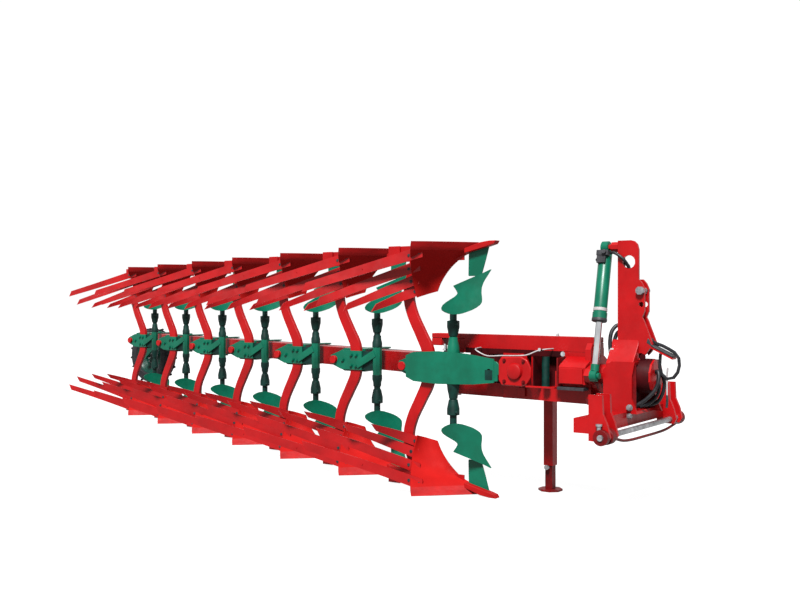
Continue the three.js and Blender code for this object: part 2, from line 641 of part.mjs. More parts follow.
function makeSteeringRod() {
  const length = BODY_SPACING * (FURROWS - 1);
  const z = BEAM_SIZE / 2 - STEERING_ROD_RADIUS;
  const rod = bar("x", 0, z, STEERING_ROD_RADIUS, -length, 0);
  const eyeTop = BEAM_SIZE / 2 + LUG_GAP - SEAT_GAP;
  const eyes = Array.from({ length: FURROWS }, (_, i) => (
    bar("z", -i * BODY_SPACING, 0, STEERING_EYE_RADIUS, z - STEERING_ROD_RADIUS, eyeTop)
  ));
  return turned(join(rod, ...eyes), -BEAM_ANGLE);
}

function makeSteeringLink() {
  // The same length and direction as the neck from the main pivot to the first station
  const half = STEERING_EYE_RADIUS;
  const link = box(-NECK, 0, -half * 0.7, half * 0.7, -half / 2, half / 2);
  const eyes = [0, -NECK].map((x) => bar("z", x, 0, half, -half * 0.7, half * 0.7));
  const pin = bar("z", 0, 0, half / 2, -half * 1.2, half * 1.2);
  const bore = hole("z", -NECK, 0, half / 2, -BODY_SPAN, BODY_SPAN);
  return turned(cut(join(link, ...eyes, pin), bore), -BEAM_ANGLE);
}

// Depth wheel

function makeTyre() {
  const half = TYRE_WIDTH / 2;
  const tread = WHEEL_RADIUS - LUG_DEPTH;
  const profile = [
    [RIM_RADIUS, -half * 0.75], [RIM_RADIUS + TYRE_SHOULDER, -half],
    [tread - TYRE_SHOULDER, -half], [tread, -half * 0.8],
    [tread, half * 0.8], [tread - TYRE_SHOULDER, half],
    [RIM_RADIUS + TYRE_SHOULDER, half], [RIM_RADIUS, half * 0.75],
    [RIM_RADIUS, -half * 0.75],
  ].map(([r, y]) => new THREE.Vector2(r, y));
  const carcass = new THREE.LatheGeometry(profile, 2 * ROUND.large);
  const pitch = (2 * Math.PI) / LUG_COUNT;
  const lugs = Array.from({ length: LUG_COUNT }, (_, i) => {
    const side = i % 2 ? 1 : -1;
    const lug = box(tread - LUG_DEPTH, WHEEL_RADIUS, -LUG_DEPTH * 0.7, LUG_DEPTH * 0.7, 0, half * 0.98);
    lug.rotateX(-Math.PI / 2);
    lug.scale(1, side, 1);
    lug.rotateY(i * pitch);
    return lug;
  });
  return join(carcass, ...lugs);
}

function makeRim() {
  const half = TYRE_WIDTH / 2;
  const seat = RIM_RADIUS - SEAT_GAP;
  const profile = [
    [AXLE_RADIUS + RUNNING_GAP, -half * 0.6], [AXLE_RADIUS * 1.9, -half * 0.6],
    [AXLE_RADIUS * 1.9, -RIM_WALL], [seat - 2 * RIM_WALL, -RIM_WALL], [seat - RIM_WALL, -half * 0.75],
    [seat, -half * 0.75], [seat, half * 0.75], [seat - RIM_WALL, half * 0.75],
    [seat - 2 * RIM_WALL, RIM_WALL], [AXLE_RADIUS * 1.9, half * 0.6], [AXLE_RADIUS + RUNNING_GAP, half * 0.6],
    [AXLE_RADIUS + RUNNING_GAP, -half * 0.6],
  ].map(([r, y]) => new THREE.Vector2(r, y));
  return new THREE.LatheGeometry(profile, 2 * ROUND.large);
}

function makeWheelArm() {
  const dx = wheelAxle.x - wheelArmPivot.x;
  const centre = [[0, 0], [dx * 0.5, wheelAxle.z * 0.3], [dx, wheelAxle.z]];
  const strip = prism("y", ribbon(centre, [WHEEL_ARM_WIDTH, WHEEL_ARM_WIDTH * 0.8], 5), armInner, armOuter);
  const ends = [[0, 0], [dx, wheelAxle.z]].map(([x, z]) => (
    bar("y", x, z, WHEEL_ARM_WIDTH / 2, armInner, armOuter, ROUND.middle)
  ));
  const bore = hole("y", 0, 0, AXLE_RADIUS, armInner - OVERRUN, armOuter + OVERRUN);
  const axle = bar("y", dx, wheelAxle.z, AXLE_RADIUS, armInner, wheelMiddle + TYRE_WIDTH * 0.34);
  return join(cut(join(strip, ...ends), bore), axle);
}

// Front frame, in the frame of the turnover axis

function barOutline(width) {
  // Both bars run from the head plate to the main pivot, seen from above
  const angle = Math.atan2(mainPivot.y, -mainPivot.x - HEAD_WALL);
  const half = width / 2;
  const [sx, sy] = [Math.sin(angle) * half, Math.cos(angle) * half];
  return [
    [-HEAD_WALL, -half], [-HEAD_WALL, half],
    [mainPivot.x + sx, mainPivot.y + sy], [mainPivot.x - sx, mainPivot.y - sy],
  ].reverse();
}

function makeFrontFrame() {
  const low = BAR_RISE - BAR_SIZE / 2;
  const high = BAR_RISE + BAR_SIZE / 2;
  const bars = [[low, high], [-high, -low]].map(([from, to]) => prism("z", barOutline(BAR_SIZE), from, to));
  const knuckles = [[low, high], [-high, -low]].map(([from, to]) => (
    bar("z", mainPivot.x, mainPivot.y, BAR_SIZE * 0.62, from, to, ROUND.middle)
  ));
  const pinHole = hole("z", mainPivot.x, mainPivot.y, MAIN_PIN_RADIUS, -BODY_SPAN, BODY_SPAN,
    ROUND.middle, SEAT_GAP);
  const half = HEAD_WIDTH / 2;
  const plateBack = -CRANK_WALL - RUNNING_GAP - CYLINDER_EYE_WALL / 2;
  const headPlate = prism("x", [
    [-half, -high * 0.8], [-half * 0.7, -high], [half * 0.7, -high], [half, -high * 0.8],
    [half, high * 0.8], [half * 0.7, high], [-half * 0.7, high], [-half, high * 0.8],
  ], plateBack - HEAD_WALL, plateBack);
  const headBox = box(plateBack - HEAD_LENGTH, plateBack, -half * 0.8, half * 0.8, -low, low * 0.1);
  const crankFront = -CYLINDER_EYE_WALL / 2 - RUNNING_GAP;
  const crank = join(
    bar("x", 0, 0, SHAFT_RADIUS * 1.9, crankFront - CRANK_WALL - OVERRUN, crankFront, ROUND.middle),
    prism("x", [
      [0, -SHAFT_RADIUS * 1.5], [0, SHAFT_RADIUS * 1.5],
      [-CRANK_RADIUS, CYLINDER_EYE_RADIUS], [-CRANK_RADIUS - CYLINDER_EYE_RADIUS * 0.8, 0],
      [-CRANK_RADIUS, -CYLINDER_EYE_RADIUS],
    ].reverse(), crankFront - CRANK_WALL, crankFront),
  );
  const shaftEnd = HEAD_GAP + HOUSING_LENGTH + RUNNING_GAP;
  const shaft = bar("x", 0, 0, SHAFT_RADIUS, crankFront - CRANK_WALL, shaftEnd + FLANGE_WALL, ROUND.large);
  const flange = bar("x", 0, 0, FLANGE_RADIUS, shaftEnd, shaftEnd + FLANGE_WALL, ROUND.middle);
  const spacerFront = linkAnchor.x + SPACER_LENGTH * 0.84;
  const angle = Math.atan2(mainPivot.y, -mainPivot.x - HEAD_WALL);
  const spacerY = Math.tan(angle) * (-spacerFront + SPACER_LENGTH / 2 - HEAD_WALL);
  const spacer = box(
    spacerFront - SPACER_LENGTH, spacerFront, spacerY - BAR_SIZE * 0.6, spacerY + BAR_SIZE * 0.6,
    -high, low * 1.1,
  );
  const ribs = [0.36, 0.44].map((share) => {
    const x = mainPivot.x * share;
    const y = Math.tan(angle) * (-x - HEAD_WALL);
    return box(x - CHEEK_WALL, x + CHEEK_WALL, y - BAR_SIZE * 0.45, y + BAR_SIZE * 0.45, -low * 1.05,
      low * 1.05);
  });
  // Anchors of the steering link and of the width cylinder
  const linkPin = linkAnchor;
  const eye = STEERING_EYE_RADIUS;
  const forks = [-1, 1].map((side) => {
    const from = side > 0 ? eye * 0.7 + RUNNING_GAP : -eye * 0.7 - RUNNING_GAP - CHEEK_WALL;
    return prism("z", [
      [linkPin.x + eye * 2, spacerY], [linkPin.x - eye, spacerY - BAR_SIZE * 0.3],
      [linkPin.x - eye, linkPin.y - eye], [linkPin.x + eye, linkPin.y - eye],
    ].reverse(), from, from + CHEEK_WALL);
  });
  const forkHole = hole("z", linkPin.x, linkPin.y, eye / 2, -BODY_SPAN, BODY_SPAN);
  const anchorX = widthAnchor.x + WIDTH_BARREL_RADIUS;
  const anchor = box(anchorX, anchorX + 2 * CHEEK_WALL, 0, widthAnchor.y + WIDTH_BARREL_RADIUS,
    -WIDTH_BARREL_RADIUS, WIDTH_BARREL_RADIUS);
  const standHalf = STAND_TUBE / 2;
  const standY = STAND_Y - standHalf;
  const arm = box(-STAND_X - standHalf * 0.8, -STAND_X + standHalf * 0.8, 0, standY + STAND_WALL / 2,
    -BAR_RISE - standHalf * 0.8, -BAR_RISE + standHalf * 0.8);
  const sleeve = box(-STAND_X - standHalf, -STAND_X + standHalf, STAND_Y - standHalf, STAND_Y + standHalf,
    -standBottom, -STAND_TOP);
  const slide = standHalf - STAND_WALL;
  const sleeveBore = box(-STAND_X - slide, -STAND_X + slide, STAND_Y - slide, STAND_Y + slide,
    -standBottom - OVERRUN, -STAND_TOP + OVERRUN);
  const frame = join(...bars, ...knuckles, headPlate, headBox, crank, shaft, flange, spacer, ...ribs,
    cut(join(...forks), forkHole), anchor, arm, sleeve);
  return cut(frame, pinHole, sleeveBore);
}

// The stand's pin goes through the leg just under its sleeve, which stands on it
const standPinZ = standBottom + STAND_PIN_RADIUS * Math.cos(Math.PI / (2 * ROUND.small)) + SEAT_GAP;
const linkEnd = { x: firstPivot.x + consoleLink.x, y: firstPivot.y + consoleLink.y };
const linkAnchor = {
  x: linkEnd.x + NECK * Math.cos(beamAngle),
  y: linkEnd.y - NECK * Math.sin(beamAngle),
};
// The lever's pin runs on an arc, so the rod lies halfway down that arc's rise
const widthRise = (WIDTH_LEVER * (1 - Math.cos(radians(WIDTH_SWING)))) / 2;
const widthPin = { x: mainPivot.x, y: mainPivot.y + WIDTH_LEVER - widthRise };
const widthAnchor = { x: widthPin.x + WIDTH_ROD_SHOWN + WIDTH_BARREL_LENGTH, y: widthPin.y };

function makeStandLeg() {
  const half = STAND_TUBE / 2 - STAND_WALL - RUNNING_GAP;
  const top = -STAND_TOP - STAND_TUBE;
  const leg = box(-STAND_X - half, -STAND_X + half, STAND_Y - half, STAND_Y + half, -halfSpan, top);
  const foot = prism("z", circle(-STAND_X, STAND_Y, STAND_FOOT_WIDTH / 2, ROUND.small), -halfSpan,
    -halfSpan + STAND_FOOT_WALL);
  const holes = Array.from({ length: STAND_HOLES }, (_, i) => (
    bar("y", -STAND_X, -standPinZ + i * STAND_TUBE, STAND_PIN_RADIUS + SEAT_GAP, STAND_Y - STAND_TUBE,
      STAND_Y + STAND_TUBE)
  ));
  return cut(join(leg, foot), ...holes);
}

function makeStandPin() {
  const reach = STAND_TUBE * 0.72;
  const pin = bar("y", -STAND_X, -standPinZ, STAND_PIN_RADIUS, STAND_Y - reach, STAND_Y + reach);
  const head = bar("y", -STAND_X, -standPinZ, STAND_PIN_RADIUS * 1.7, STAND_Y - reach - BOLT_HEAD,
    STAND_Y - reach);
  return join(pin, head);
}

// Headstock

function makeMast() {
  // The right cheek runs to the top. The left one ends above the top link's holes.
  const front = MAST_REAR + MAST_LENGTH;
  const pin = TOP_PIN_RADIUS;
  const bulge = TOP_HOLE_FORWARD + pin * 1.45;
  const neck = front - MAST_WALL;
  const foot = BOX_TOP - MAST_WALL;
  const below = [
    [MAST_REAR, foot], [neck, foot], [neck + MAST_LENGTH * 0.5, foot * 1.95],
    [neck + MAST_LENGTH * 0.78, foot * 2.7],
    [neck + MAST_LENGTH * 0.38, TOP_HOLE_LOW - pin * 6.8], [bulge - pin, TOP_HOLE_LOW - pin * 5.2],
    [bulge, TOP_HOLE_LOW - pin * 2.8], [bulge, TOP_HOLE_HIGH + pin * 0.7],
    [bulge - pin, TOP_HOLE_HIGH + pin * 3],
    [front, TOP_HOLE_HIGH + pin * 4.6],
  ];
  const above = [
    [front, MAST_HEIGHT * 0.93], [front * 0.96, MAST_HEIGHT * 0.97], [front * 0.88, MAST_HEIGHT * 0.992],
    [front * 0.78, MAST_HEIGHT], [MAST_REAR, MAST_HEIGHT],
  ];
  const gap = MAST_GAP / 2;
  const right = prism("y", [...below, ...above].reverse(), -gap - MAST_WALL, -gap);
  const left = prism("y", [...below, [MAST_REAR, TOP_HOLE_HIGH + pin * 4.6]].reverse(), gap, gap + MAST_WALL);
  const spine = box(MAST_REAR, MAST_REAR + MAST_WALL, -gap - MAST_WALL / 2, gap + MAST_WALL / 2, foot,
    cylinderTop);
  return join(right, left, spine);
}

function makeHeadstock() {
  const rear = HEAD_GAP;
  const front = HEAD_GAP + HOUSING_LENGTH;
  const housing = bar("x", 0, 0, HOUSING_RADIUS, rear, front, ROUND.large);
  const bore = hole("x", 0, 0, SHAFT_RADIUS, rear - OVERRUN, front + OVERRUN, ROUND.large);
  const portX = MAST_REAR + MAST_LENGTH * 0.53;
  const holes = [
    hole("y", TOP_HOLE_FORWARD, TOP_HOLE_HIGH, TOP_PIN_RADIUS, -BODY_SPAN, BODY_SPAN),
    hole("y", TOP_HOLE_FORWARD, TOP_HOLE_LOW, TOP_PIN_RADIUS, -BODY_SPAN, BODY_SPAN),
    bar("y", portX, MAST_HEIGHT * 0.84, PORT_HOLE_RADIUS, -BODY_SPAN, BODY_SPAN, ROUND.middle),
    bar("y", MAST_REAR + MAST_LENGTH * 1.1, BOX_TOP * 1.35, PORT_HOLE_RADIUS * 0.5, -BODY_SPAN, BODY_SPAN),
  ];
  // A box round the housing, open to the front, with a longer wall on the left
  const boxOutline = (length) => [
    [rear, BOX_TOP * 0.45], [rear, -BOX_DROP * 0.8], [rear + MAST_WALL * 2, -BOX_DROP], [length, -BOX_DROP],
    [length * 0.87, -BOX_DROP * 0.6], [length * 0.87, 0], [length * 0.94, BOX_TOP], [MAST_REAR, BOX_TOP],
  ];
  const boxFront = MAST_REAR + MAST_LENGTH * 1.22;
  const shell = prism("y", boxOutline(boxFront), -BOX_HALF, BOX_HALF);
  const pocket = box(rear + MAST_WALL, boxFront + OVERRUN, MAST_WALL - BOX_HALF, BOX_HALF - MAST_WALL,
    MAST_WALL - BOX_DROP, BOX_TOP - MAST_WALL);
  const farWall = prism("y", boxOutline(front), BOX_HALF - MAST_WALL, BOX_HALF);
  // Cross beam to the lower-link plates
  const shaftX = CROSS_SHAFT_FORWARD;
  const collar = CROSS_COLLAR_RADIUS;
  const span = WING_SPAN / 2;
  const inner = span - 2 * LINK_WALL - LINK_SLOT;
  const wingFront = shaftX - collar;
  const wing = box(rear + MAST_WALL, wingFront, -span, span, -BOX_DROP - WING_SIZE,
    -BOX_DROP + MAST_WALL / 2);
  const linkPoints = [
    [shaftX - 2 * collar, LINK_HEIGHT - CROSS_SHAFT_DROP],
    [shaftX - 2 * collar, -CROSS_SHAFT_DROP - collar * 0.6],
    [shaftX + collar * 0.6, -CROSS_SHAFT_DROP - collar * 0.7], [shaftX + collar, -CROSS_SHAFT_DROP],
    [shaftX + collar * 0.6, LINK_HEIGHT * 0.3 - CROSS_SHAFT_DROP],
    [shaftX, LINK_HEIGHT * 0.55 - CROSS_SHAFT_DROP],
    [shaftX - collar * 0.1, LINK_HEIGHT - CROSS_SHAFT_DROP],
  ];
  const linkPlates = [-span, -inner - LINK_WALL, inner, span - LINK_WALL].map((y) => (
    prism("y", linkPoints, y, y + LINK_WALL)
  ));
  const shaftHole = hole("y", shaftX, -CROSS_SHAFT_DROP, CROSS_SHAFT_RADIUS, -BODY_SPAN, BODY_SPAN,
    ROUND.middle);
  const pinFrom = -CYLINDER_EYE_WALL / 2;
  const pinTo = MAST_REAR + MAST_WALL / 2;
  const cylinderPin = join(
    bar("x", 0, cylinderTop, CYLINDER_PIN_RADIUS, pinFrom, pinTo),
    bar("x", 0, cylinderTop, CYLINDER_PIN_RADIUS * 1.8, CYLINDER_RADIUS + RUNNING_GAP, pinTo),
  );
  const holderStart = front - 2 * MAST_WALL;
  const holder = prism("y", [
    [holderStart, holderTop(holderStart) - HOLDER_WALL],
    [front + HOLDER_REACH, holderTop(front + HOLDER_REACH) - HOLDER_WALL],
    [front + HOLDER_REACH, holderTop(front + HOLDER_REACH)], [holderStart, holderTop(holderStart)],
  ], -MAST_GAP / 2 - MAST_WALL, MAST_GAP / 2);
  const body = join(cut(shell, pocket), farWall, housing, makeMast(), holder, wing, ...linkPlates,
    cylinderPin);
  return cut(body, bore, ...holes, shaftHole);
}

// Hose down through the mast, over its holder and back up under it
function makeHose() {
  const inside = MAST_REAR + MAST_WALL + 2 * RUNNING_GAP;
  const front = HEAD_GAP + HOUSING_LENGTH;
  const hang = front + HOLDER_REACH + 2.5 * HOSE_RADIUS;
  const side = -MAST_GAP / 4;
  const endX = hang - HOLDER_REACH * 0.85;
  const hoseEnd = holderTop(endX) - HOLDER_WALL - 2 * RUNNING_GAP - HOSE_RADIUS / 2;
  const route = [
    point(inside, 0, MAST_HEIGHT * 0.84), point(inside + HOSE_RADIUS, 0, MAST_HEIGHT * 0.84),
    point(inside + MAST_LENGTH * 0.3, 0, MAST_HEIGHT * 0.8),
    point(inside + MAST_LENGTH * 0.4, 0, MAST_HEIGHT * 0.6),
    point(inside + MAST_LENGTH * 0.5, 0, MAST_HEIGHT * 0.38),
    point(front - MAST_WALL, side / 2, HOLDER_TOP * 1.2), point(front + HOLDER_REACH * 0.6, side, HOLDER_TOP),
    point(hang, side, HOLDER_TOP * 0.7), point(hang, side, HOLDER_TOP * 0.2),
    point(hang - HOLDER_REACH * 0.4, side, -HOLDER_TOP * 0.08), point(endX, side, HOLDER_TOP * 0.16),
    point(endX, side, hoseEnd - HOSE_RADIUS), point(endX, side, hoseEnd),
  ];
  return tube(route, HOSE_RADIUS, 3, 26);
}

function makeCrossShaft() {
  const span = WING_SPAN / 2;
  const reach = span + CROSS_COLLAR_RADIUS;
  const at = [CROSS_SHAFT_FORWARD, -CROSS_SHAFT_DROP];
  const shaft = bar("y", ...at, CROSS_SHAFT_RADIUS, -reach, reach, ROUND.middle);
  const collars = [
    bar("y", ...at, CROSS_COLLAR_RADIUS, span + SEAT_GAP, span + CROSS_COLLAR_RADIUS * 0.8, ROUND.middle),
    bar("y", ...at, CROSS_COLLAR_RADIUS, -span - CROSS_COLLAR_RADIUS * 0.8, -span - SEAT_GAP, ROUND.middle),
  ];
  return join(shaft, ...collars);
}

function makeTopLinkPin() {
  const reach = MAST_GAP / 2 + MAST_WALL;
  const at = [TOP_HOLE_FORWARD, TOP_HOLE_HIGH];
  return join(
    bar("y", ...at, TOP_PIN_RADIUS, -reach - BOLT_HEAD, reach + 2 * BOLT_HEAD),
    bar("y", ...at, TOP_PIN_RADIUS * 1.7, -reach - 2 * BOLT_HEAD, -reach - SEAT_GAP),
  );
}

// Turnover cylinder, upright in its own frame: the top pin is the origin

const cylinderLength = Math.hypot(cylinderTop, CRANK_RADIUS);
const cylinderLean = Math.atan2(CRANK_RADIUS, cylinderTop);

function makeCylinder() {
  const eyeHalf = CYLINDER_EYE_WALL / 2;
  const barrelTop = -CYLINDER_EYE_RADIUS * 0.6;
  const barrel = bar("z", 0, 0, CYLINDER_RADIUS, -BARREL_LENGTH, barrelTop, ROUND.middle);
  const gland = bar("z", 0, 0, CYLINDER_RADIUS * 1.1, -BARREL_LENGTH, -BARREL_LENGTH + CYLINDER_RADIUS,
    ROUND.middle);
  const eye = bar("x", 0, 0, CYLINDER_EYE_RADIUS, -eyeHalf, eyeHalf, ROUND.middle);
  const eyeBore = hole("x", 0, 0, CYLINDER_PIN_RADIUS, -BODY_SPAN, CYLINDER_RADIUS + OVERRUN);
  const port = box(-CYLINDER_RADIUS * 0.9, CYLINDER_RADIUS * 0.6, -CYLINDER_RADIUS * 1.3,
    CYLINDER_RADIUS * 0.2,
    barrelTop - CYLINDER_RADIUS * 2, barrelTop - CYLINDER_RADIUS * 0.9);
  const rodBore = hole("z", 0, 0, CYLINDER_ROD_RADIUS, -BARREL_LENGTH - OVERRUN,
    barrelTop - CYLINDER_RADIUS * 1.6);
  return cut(join(barrel, gland, eye, port), eyeBore, rodBore);
}

function makeCylinderRod() {
  const eyeHalf = CYLINDER_EYE_WALL / 2;
  const inside = BARREL_LENGTH - CYLINDER_RADIUS * 1.2;
  const rod = bar("z", 0, 0, CYLINDER_ROD_RADIUS, -cylinderLength, -inside);
  const eye = bar("x", 0, -cylinderLength, CYLINDER_EYE_RADIUS * 0.9, -eyeHalf, eyeHalf, ROUND.middle);
  const pin = bar("x", 0, -cylinderLength, CYLINDER_PIN_RADIUS, -eyeHalf, eyeHalf + BOLT_HEAD);
  return join(rod, eye, pin);
}

// Width cylinder, lying along the direction of travel

function makeWidthBarrel() {
  const { x, y } = widthAnchor;
  const barrel = bar("x", y, 0, WIDTH_BARREL_RADIUS, x - WIDTH_BARREL_LENGTH,
    x + WIDTH_BARREL_RADIUS - SEAT_GAP,
    ROUND.middle);
  const bore = hole("x", y, 0, WIDTH_ROD_RADIUS, x - WIDTH_BARREL_LENGTH - OVERRUN, x - STAND_TUBE);
  return cut(barrel, bore);
}

function makeWidthRod() {
  const { x, y } = widthPin;
  const rod = bar("x", y, 0, WIDTH_ROD_RADIUS, x, widthAnchor.x - WIDTH_BARREL_LENGTH * 0.55);
  const eye = bar("z", x, y, WIDTH_ROD_RADIUS * 1.7, -WIDTH_ROD_RADIUS, WIDTH_ROD_RADIUS, ROUND.middle);
  const bore = hole("z", x, y, WIDTH_ROD_RADIUS * 0.8, -BODY_SPAN, BODY_SPAN, ROUND.small, 4 * RUNNING_GAP);
  return cut(join(rod, eye), bore);
}

// Assembly

const plough = new THREE.Group();
plough.name = "plough";
const headstock = addGroup(plough, "headstock_group");
addMesh(headstock, "headstock", makeHeadstock(), FINISH.red);
addMesh(headstock, "cross_shaft", makeCrossShaft(), FINISH.steel);
addMesh(headstock, "top_link_pin", makeTopLinkPin(), FINISH.steel);
addMesh(headstock, "supply_hose", makeHose(), FINISH.rubber);

const cylinder = addGroup(plough, "cylinder_pivot", 0, 0, cylinderTop);
cylinder.rotation.x = -cylinderLean;
addMesh(cylinder, "turnover_cylinder", makeCylinder(), FINISH.green);
addMesh(cylinder, "turnover_rod", makeCylinderRod(), FINISH.chrome);

const frame = addGroup(plough, "turnover_axis");
addMesh(frame, "front_frame", makeFrontFrame(), FINISH.red);
addMesh(frame, "stand_leg", makeStandLeg(), FINISH.red);
addMesh(frame, "stand_pin", makeStandPin(), FINISH.steel);
addMesh(frame, "width_barrel", makeWidthBarrel(), FINISH.green);
addMesh(frame, "width_rod", makeWidthRod(), FINISH.chrome);
const mainPinReach = BAR_RISE + BAR_SIZE / 2;
const mainPin = join(
  bar("z", mainPivot.x, mainPivot.y, MAIN_PIN_RADIUS, -mainPinReach - BOLT_HEAD,
    mainPinReach + BOLT_HEAD, ROUND.middle),
  bar("z", mainPivot.x, mainPivot.y, MAIN_PIN_RADIUS * 1.5, mainPinReach + SEAT_GAP,
    mainPinReach + BOLT_HEAD, ROUND.middle),
);
addMesh(frame, "main_pivot_pin", mainPin, FINISH.steel);
const linkGroup = addGroup(frame, "steering_link_pivot", linkAnchor.x, linkAnchor.y, 0);
addMesh(linkGroup, "steering_link", makeSteeringLink(), FINISH.red);

const beam = addGroup(frame, "main_pivot", mainPivot.x, mainPivot.y, 0);
addMesh(beam, "main_beam", join(makeBeam(), makeWheelBoss(), makeWidthLug()), FINISH.red);
const rodStart = beamPlace(stationAlong(0));
const rodGroup = addGroup(beam, "steering_rod_pivot", rodStart.x, rodStart.y + LEVER_OFFSET, 0);
addMesh(rodGroup, "steering_rod", makeSteeringRod(), FINISH.steel);

const bodyShape = makeBody();
const legShape = makeLeg();
const skimmerShape = makeSkimmers();
for (let i = 0; i < FURROWS; i += 1) {
  const { x, y } = beamPlace(stationAlong(i));
  const number = i + 1;
  const station = addGroup(beam, `station_${number}`, x, y, 0);
  addMesh(station, `bracket_${number}`, makeBracket(i === 0), FINISH.green);
  addMesh(station, `skimmers_${number}`, skimmerShape, FINISH.green);
  [["lower", 1], ["upper", -1]].forEach(([side, up]) => {
    const half = addGroup(station, `${side}_half_${number}`);
    half.scale.z = up;
    addMesh(half, `${side}_leg_${number}`, legShape, FINISH.red);
    const body = addMesh(half, `${side}_body_${number}`, bodyShape, FINISH.red);
    body.position.set(legSetback, LEG_INSET - LEG_OFFSET, -halfSpan);
  });
}

const wheelArm = addGroup(beam, "wheel_arm_pivot", wheelArmPivot.x, 0, 0);
addMesh(wheelArm, "wheel_arm", makeWheelArm(), FINISH.green);
const wheel = addGroup(beam, "wheel_axle", wheelAxle.x, wheelMiddle, wheelAxle.z);
addMesh(wheel, "wheel_rim", makeRim(), FINISH.rim);
addMesh(wheel, "tyre", makeTyre(), FINISH.rubber);

// The middle of the whole object's base becomes the origin
const bounds = new THREE.Box3().setFromObject(plough);
const base = bounds.getCenter(point(0, 0, 0)).setZ(bounds.min.z);
plough.children.forEach((child) => child.position.sub(base));

export default plough;
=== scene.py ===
import json
import math

import bmesh
import bpy
from mathutils import Matrix, Vector


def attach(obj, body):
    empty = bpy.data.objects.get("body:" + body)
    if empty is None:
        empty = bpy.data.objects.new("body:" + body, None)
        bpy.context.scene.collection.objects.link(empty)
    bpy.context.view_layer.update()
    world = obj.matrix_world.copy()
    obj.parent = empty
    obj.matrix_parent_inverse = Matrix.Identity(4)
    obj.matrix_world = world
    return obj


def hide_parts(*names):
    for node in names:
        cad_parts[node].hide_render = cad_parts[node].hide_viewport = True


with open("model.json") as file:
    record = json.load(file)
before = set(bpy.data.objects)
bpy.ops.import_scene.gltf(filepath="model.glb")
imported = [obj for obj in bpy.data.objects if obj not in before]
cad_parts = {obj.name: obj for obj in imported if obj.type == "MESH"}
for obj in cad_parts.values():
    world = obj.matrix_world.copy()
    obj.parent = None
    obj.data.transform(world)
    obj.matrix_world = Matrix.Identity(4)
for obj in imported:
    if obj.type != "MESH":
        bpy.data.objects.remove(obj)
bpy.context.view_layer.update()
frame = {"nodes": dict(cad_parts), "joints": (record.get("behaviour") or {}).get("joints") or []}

# Sizes in millimetres from the turnover axis: +X travel, +Y left, +Z up

BEAM_ANGLE = math.radians(19)
SPACING = 1000
STATIONS = 7
FIRST_PIN = Vector((-1370, 177, 0))  # pivot pin of the first station
FIRST_REACH = 120  # from the beam's main pivot to that pin
HALF_SPAN = 918  # from the mid-plane to the share plane
BODY = (1320, 610, 500)  # length, width and height of a plough body
LAND = -0.036  # landside face, as a share of the body's width
LEG_OFFSET = 265  # from the pivot pin to the leg's mid-plane
LEG_INSET = 58  # from the leg's mid-plane to the point's
LEG_SETBACK = 560  # from the point's tip to the pivot pin
LEG_WALL = 34
STEM = (220, -265)  # the skimmers' stem, from the pivot pin
STEM_RADIUS = 26
SIDES = (("lower", False), ("upper", True))  # the upper one is the lower one mirrored
GAP = 0.3  # between two faces that would otherwise lie in one plane
ROOT = next(Vector(j["pos_m"]) for j in frame["joints"] if j["name"] == "turnover")
TO_ROW = Matrix.Translation(ROOT) @ Matrix.Diagonal((0.001, 0.001, 0.001, 1))
UNTURNED = Matrix.Identity(4)
MIRROR = Matrix.Diagonal((1, 1, -1, 1))
BACKWARD = Vector((-math.cos(BEAM_ANGLE), math.sin(BEAM_ANGLE), 0))  # along the beam to its tail
MAIN = FIRST_PIN - BACKWARD * FIRST_REACH
PIVOTS = [FIRST_PIN + BACKWARD * SPACING * i for i in range(STATIONS)]


def point_tip(pivot, flip=False):
    """Tip of a body's point, from the pivot pin of its station."""
    return pivot + Vector((LEG_SETBACK, LEG_INSET - LEG_OFFSET, HALF_SPAN if flip else -HALF_SPAN))


# Materials

TONE_STOPS = (0.35, 0.65)
GLOSS_STOPS = (0.3, 0.7)
GLOSS_SCALE = 3.1
RELIEF_DEPTH = 0.002
FLOOR_GLOW = 0.95


def noise(nodes, links, place, scale, detail, roughness=0.55, stretch=None):
    texture = nodes.new("ShaderNodeTexNoise")
    texture.inputs["Scale"].default_value = scale
    texture.inputs["Detail"].default_value = detail
    texture.inputs["Roughness"].default_value = roughness
    if stretch:
        mapping = nodes.new("ShaderNodeMapping")
        mapping.inputs["Scale"].default_value = stretch
        links.new(place, mapping.inputs["Vector"])
        place = mapping.outputs["Vector"]
    links.new(place, texture.inputs["Vector"])
    return texture.outputs["Fac"]


def ramp(nodes, links, source, stops, low, high):
    """Goes from one colour to the other between two values of the source."""
    node = nodes.new("ShaderNodeValToRGB")
    for element, position, colour in zip(node.color_ramp.elements, stops, (low, high)):
        element.position = position
        element.color = (*colour, 1)
    links.new(source, node.inputs["Fac"])
    return node.outputs["Color"]


def grey(value):
    return (value, value, value)


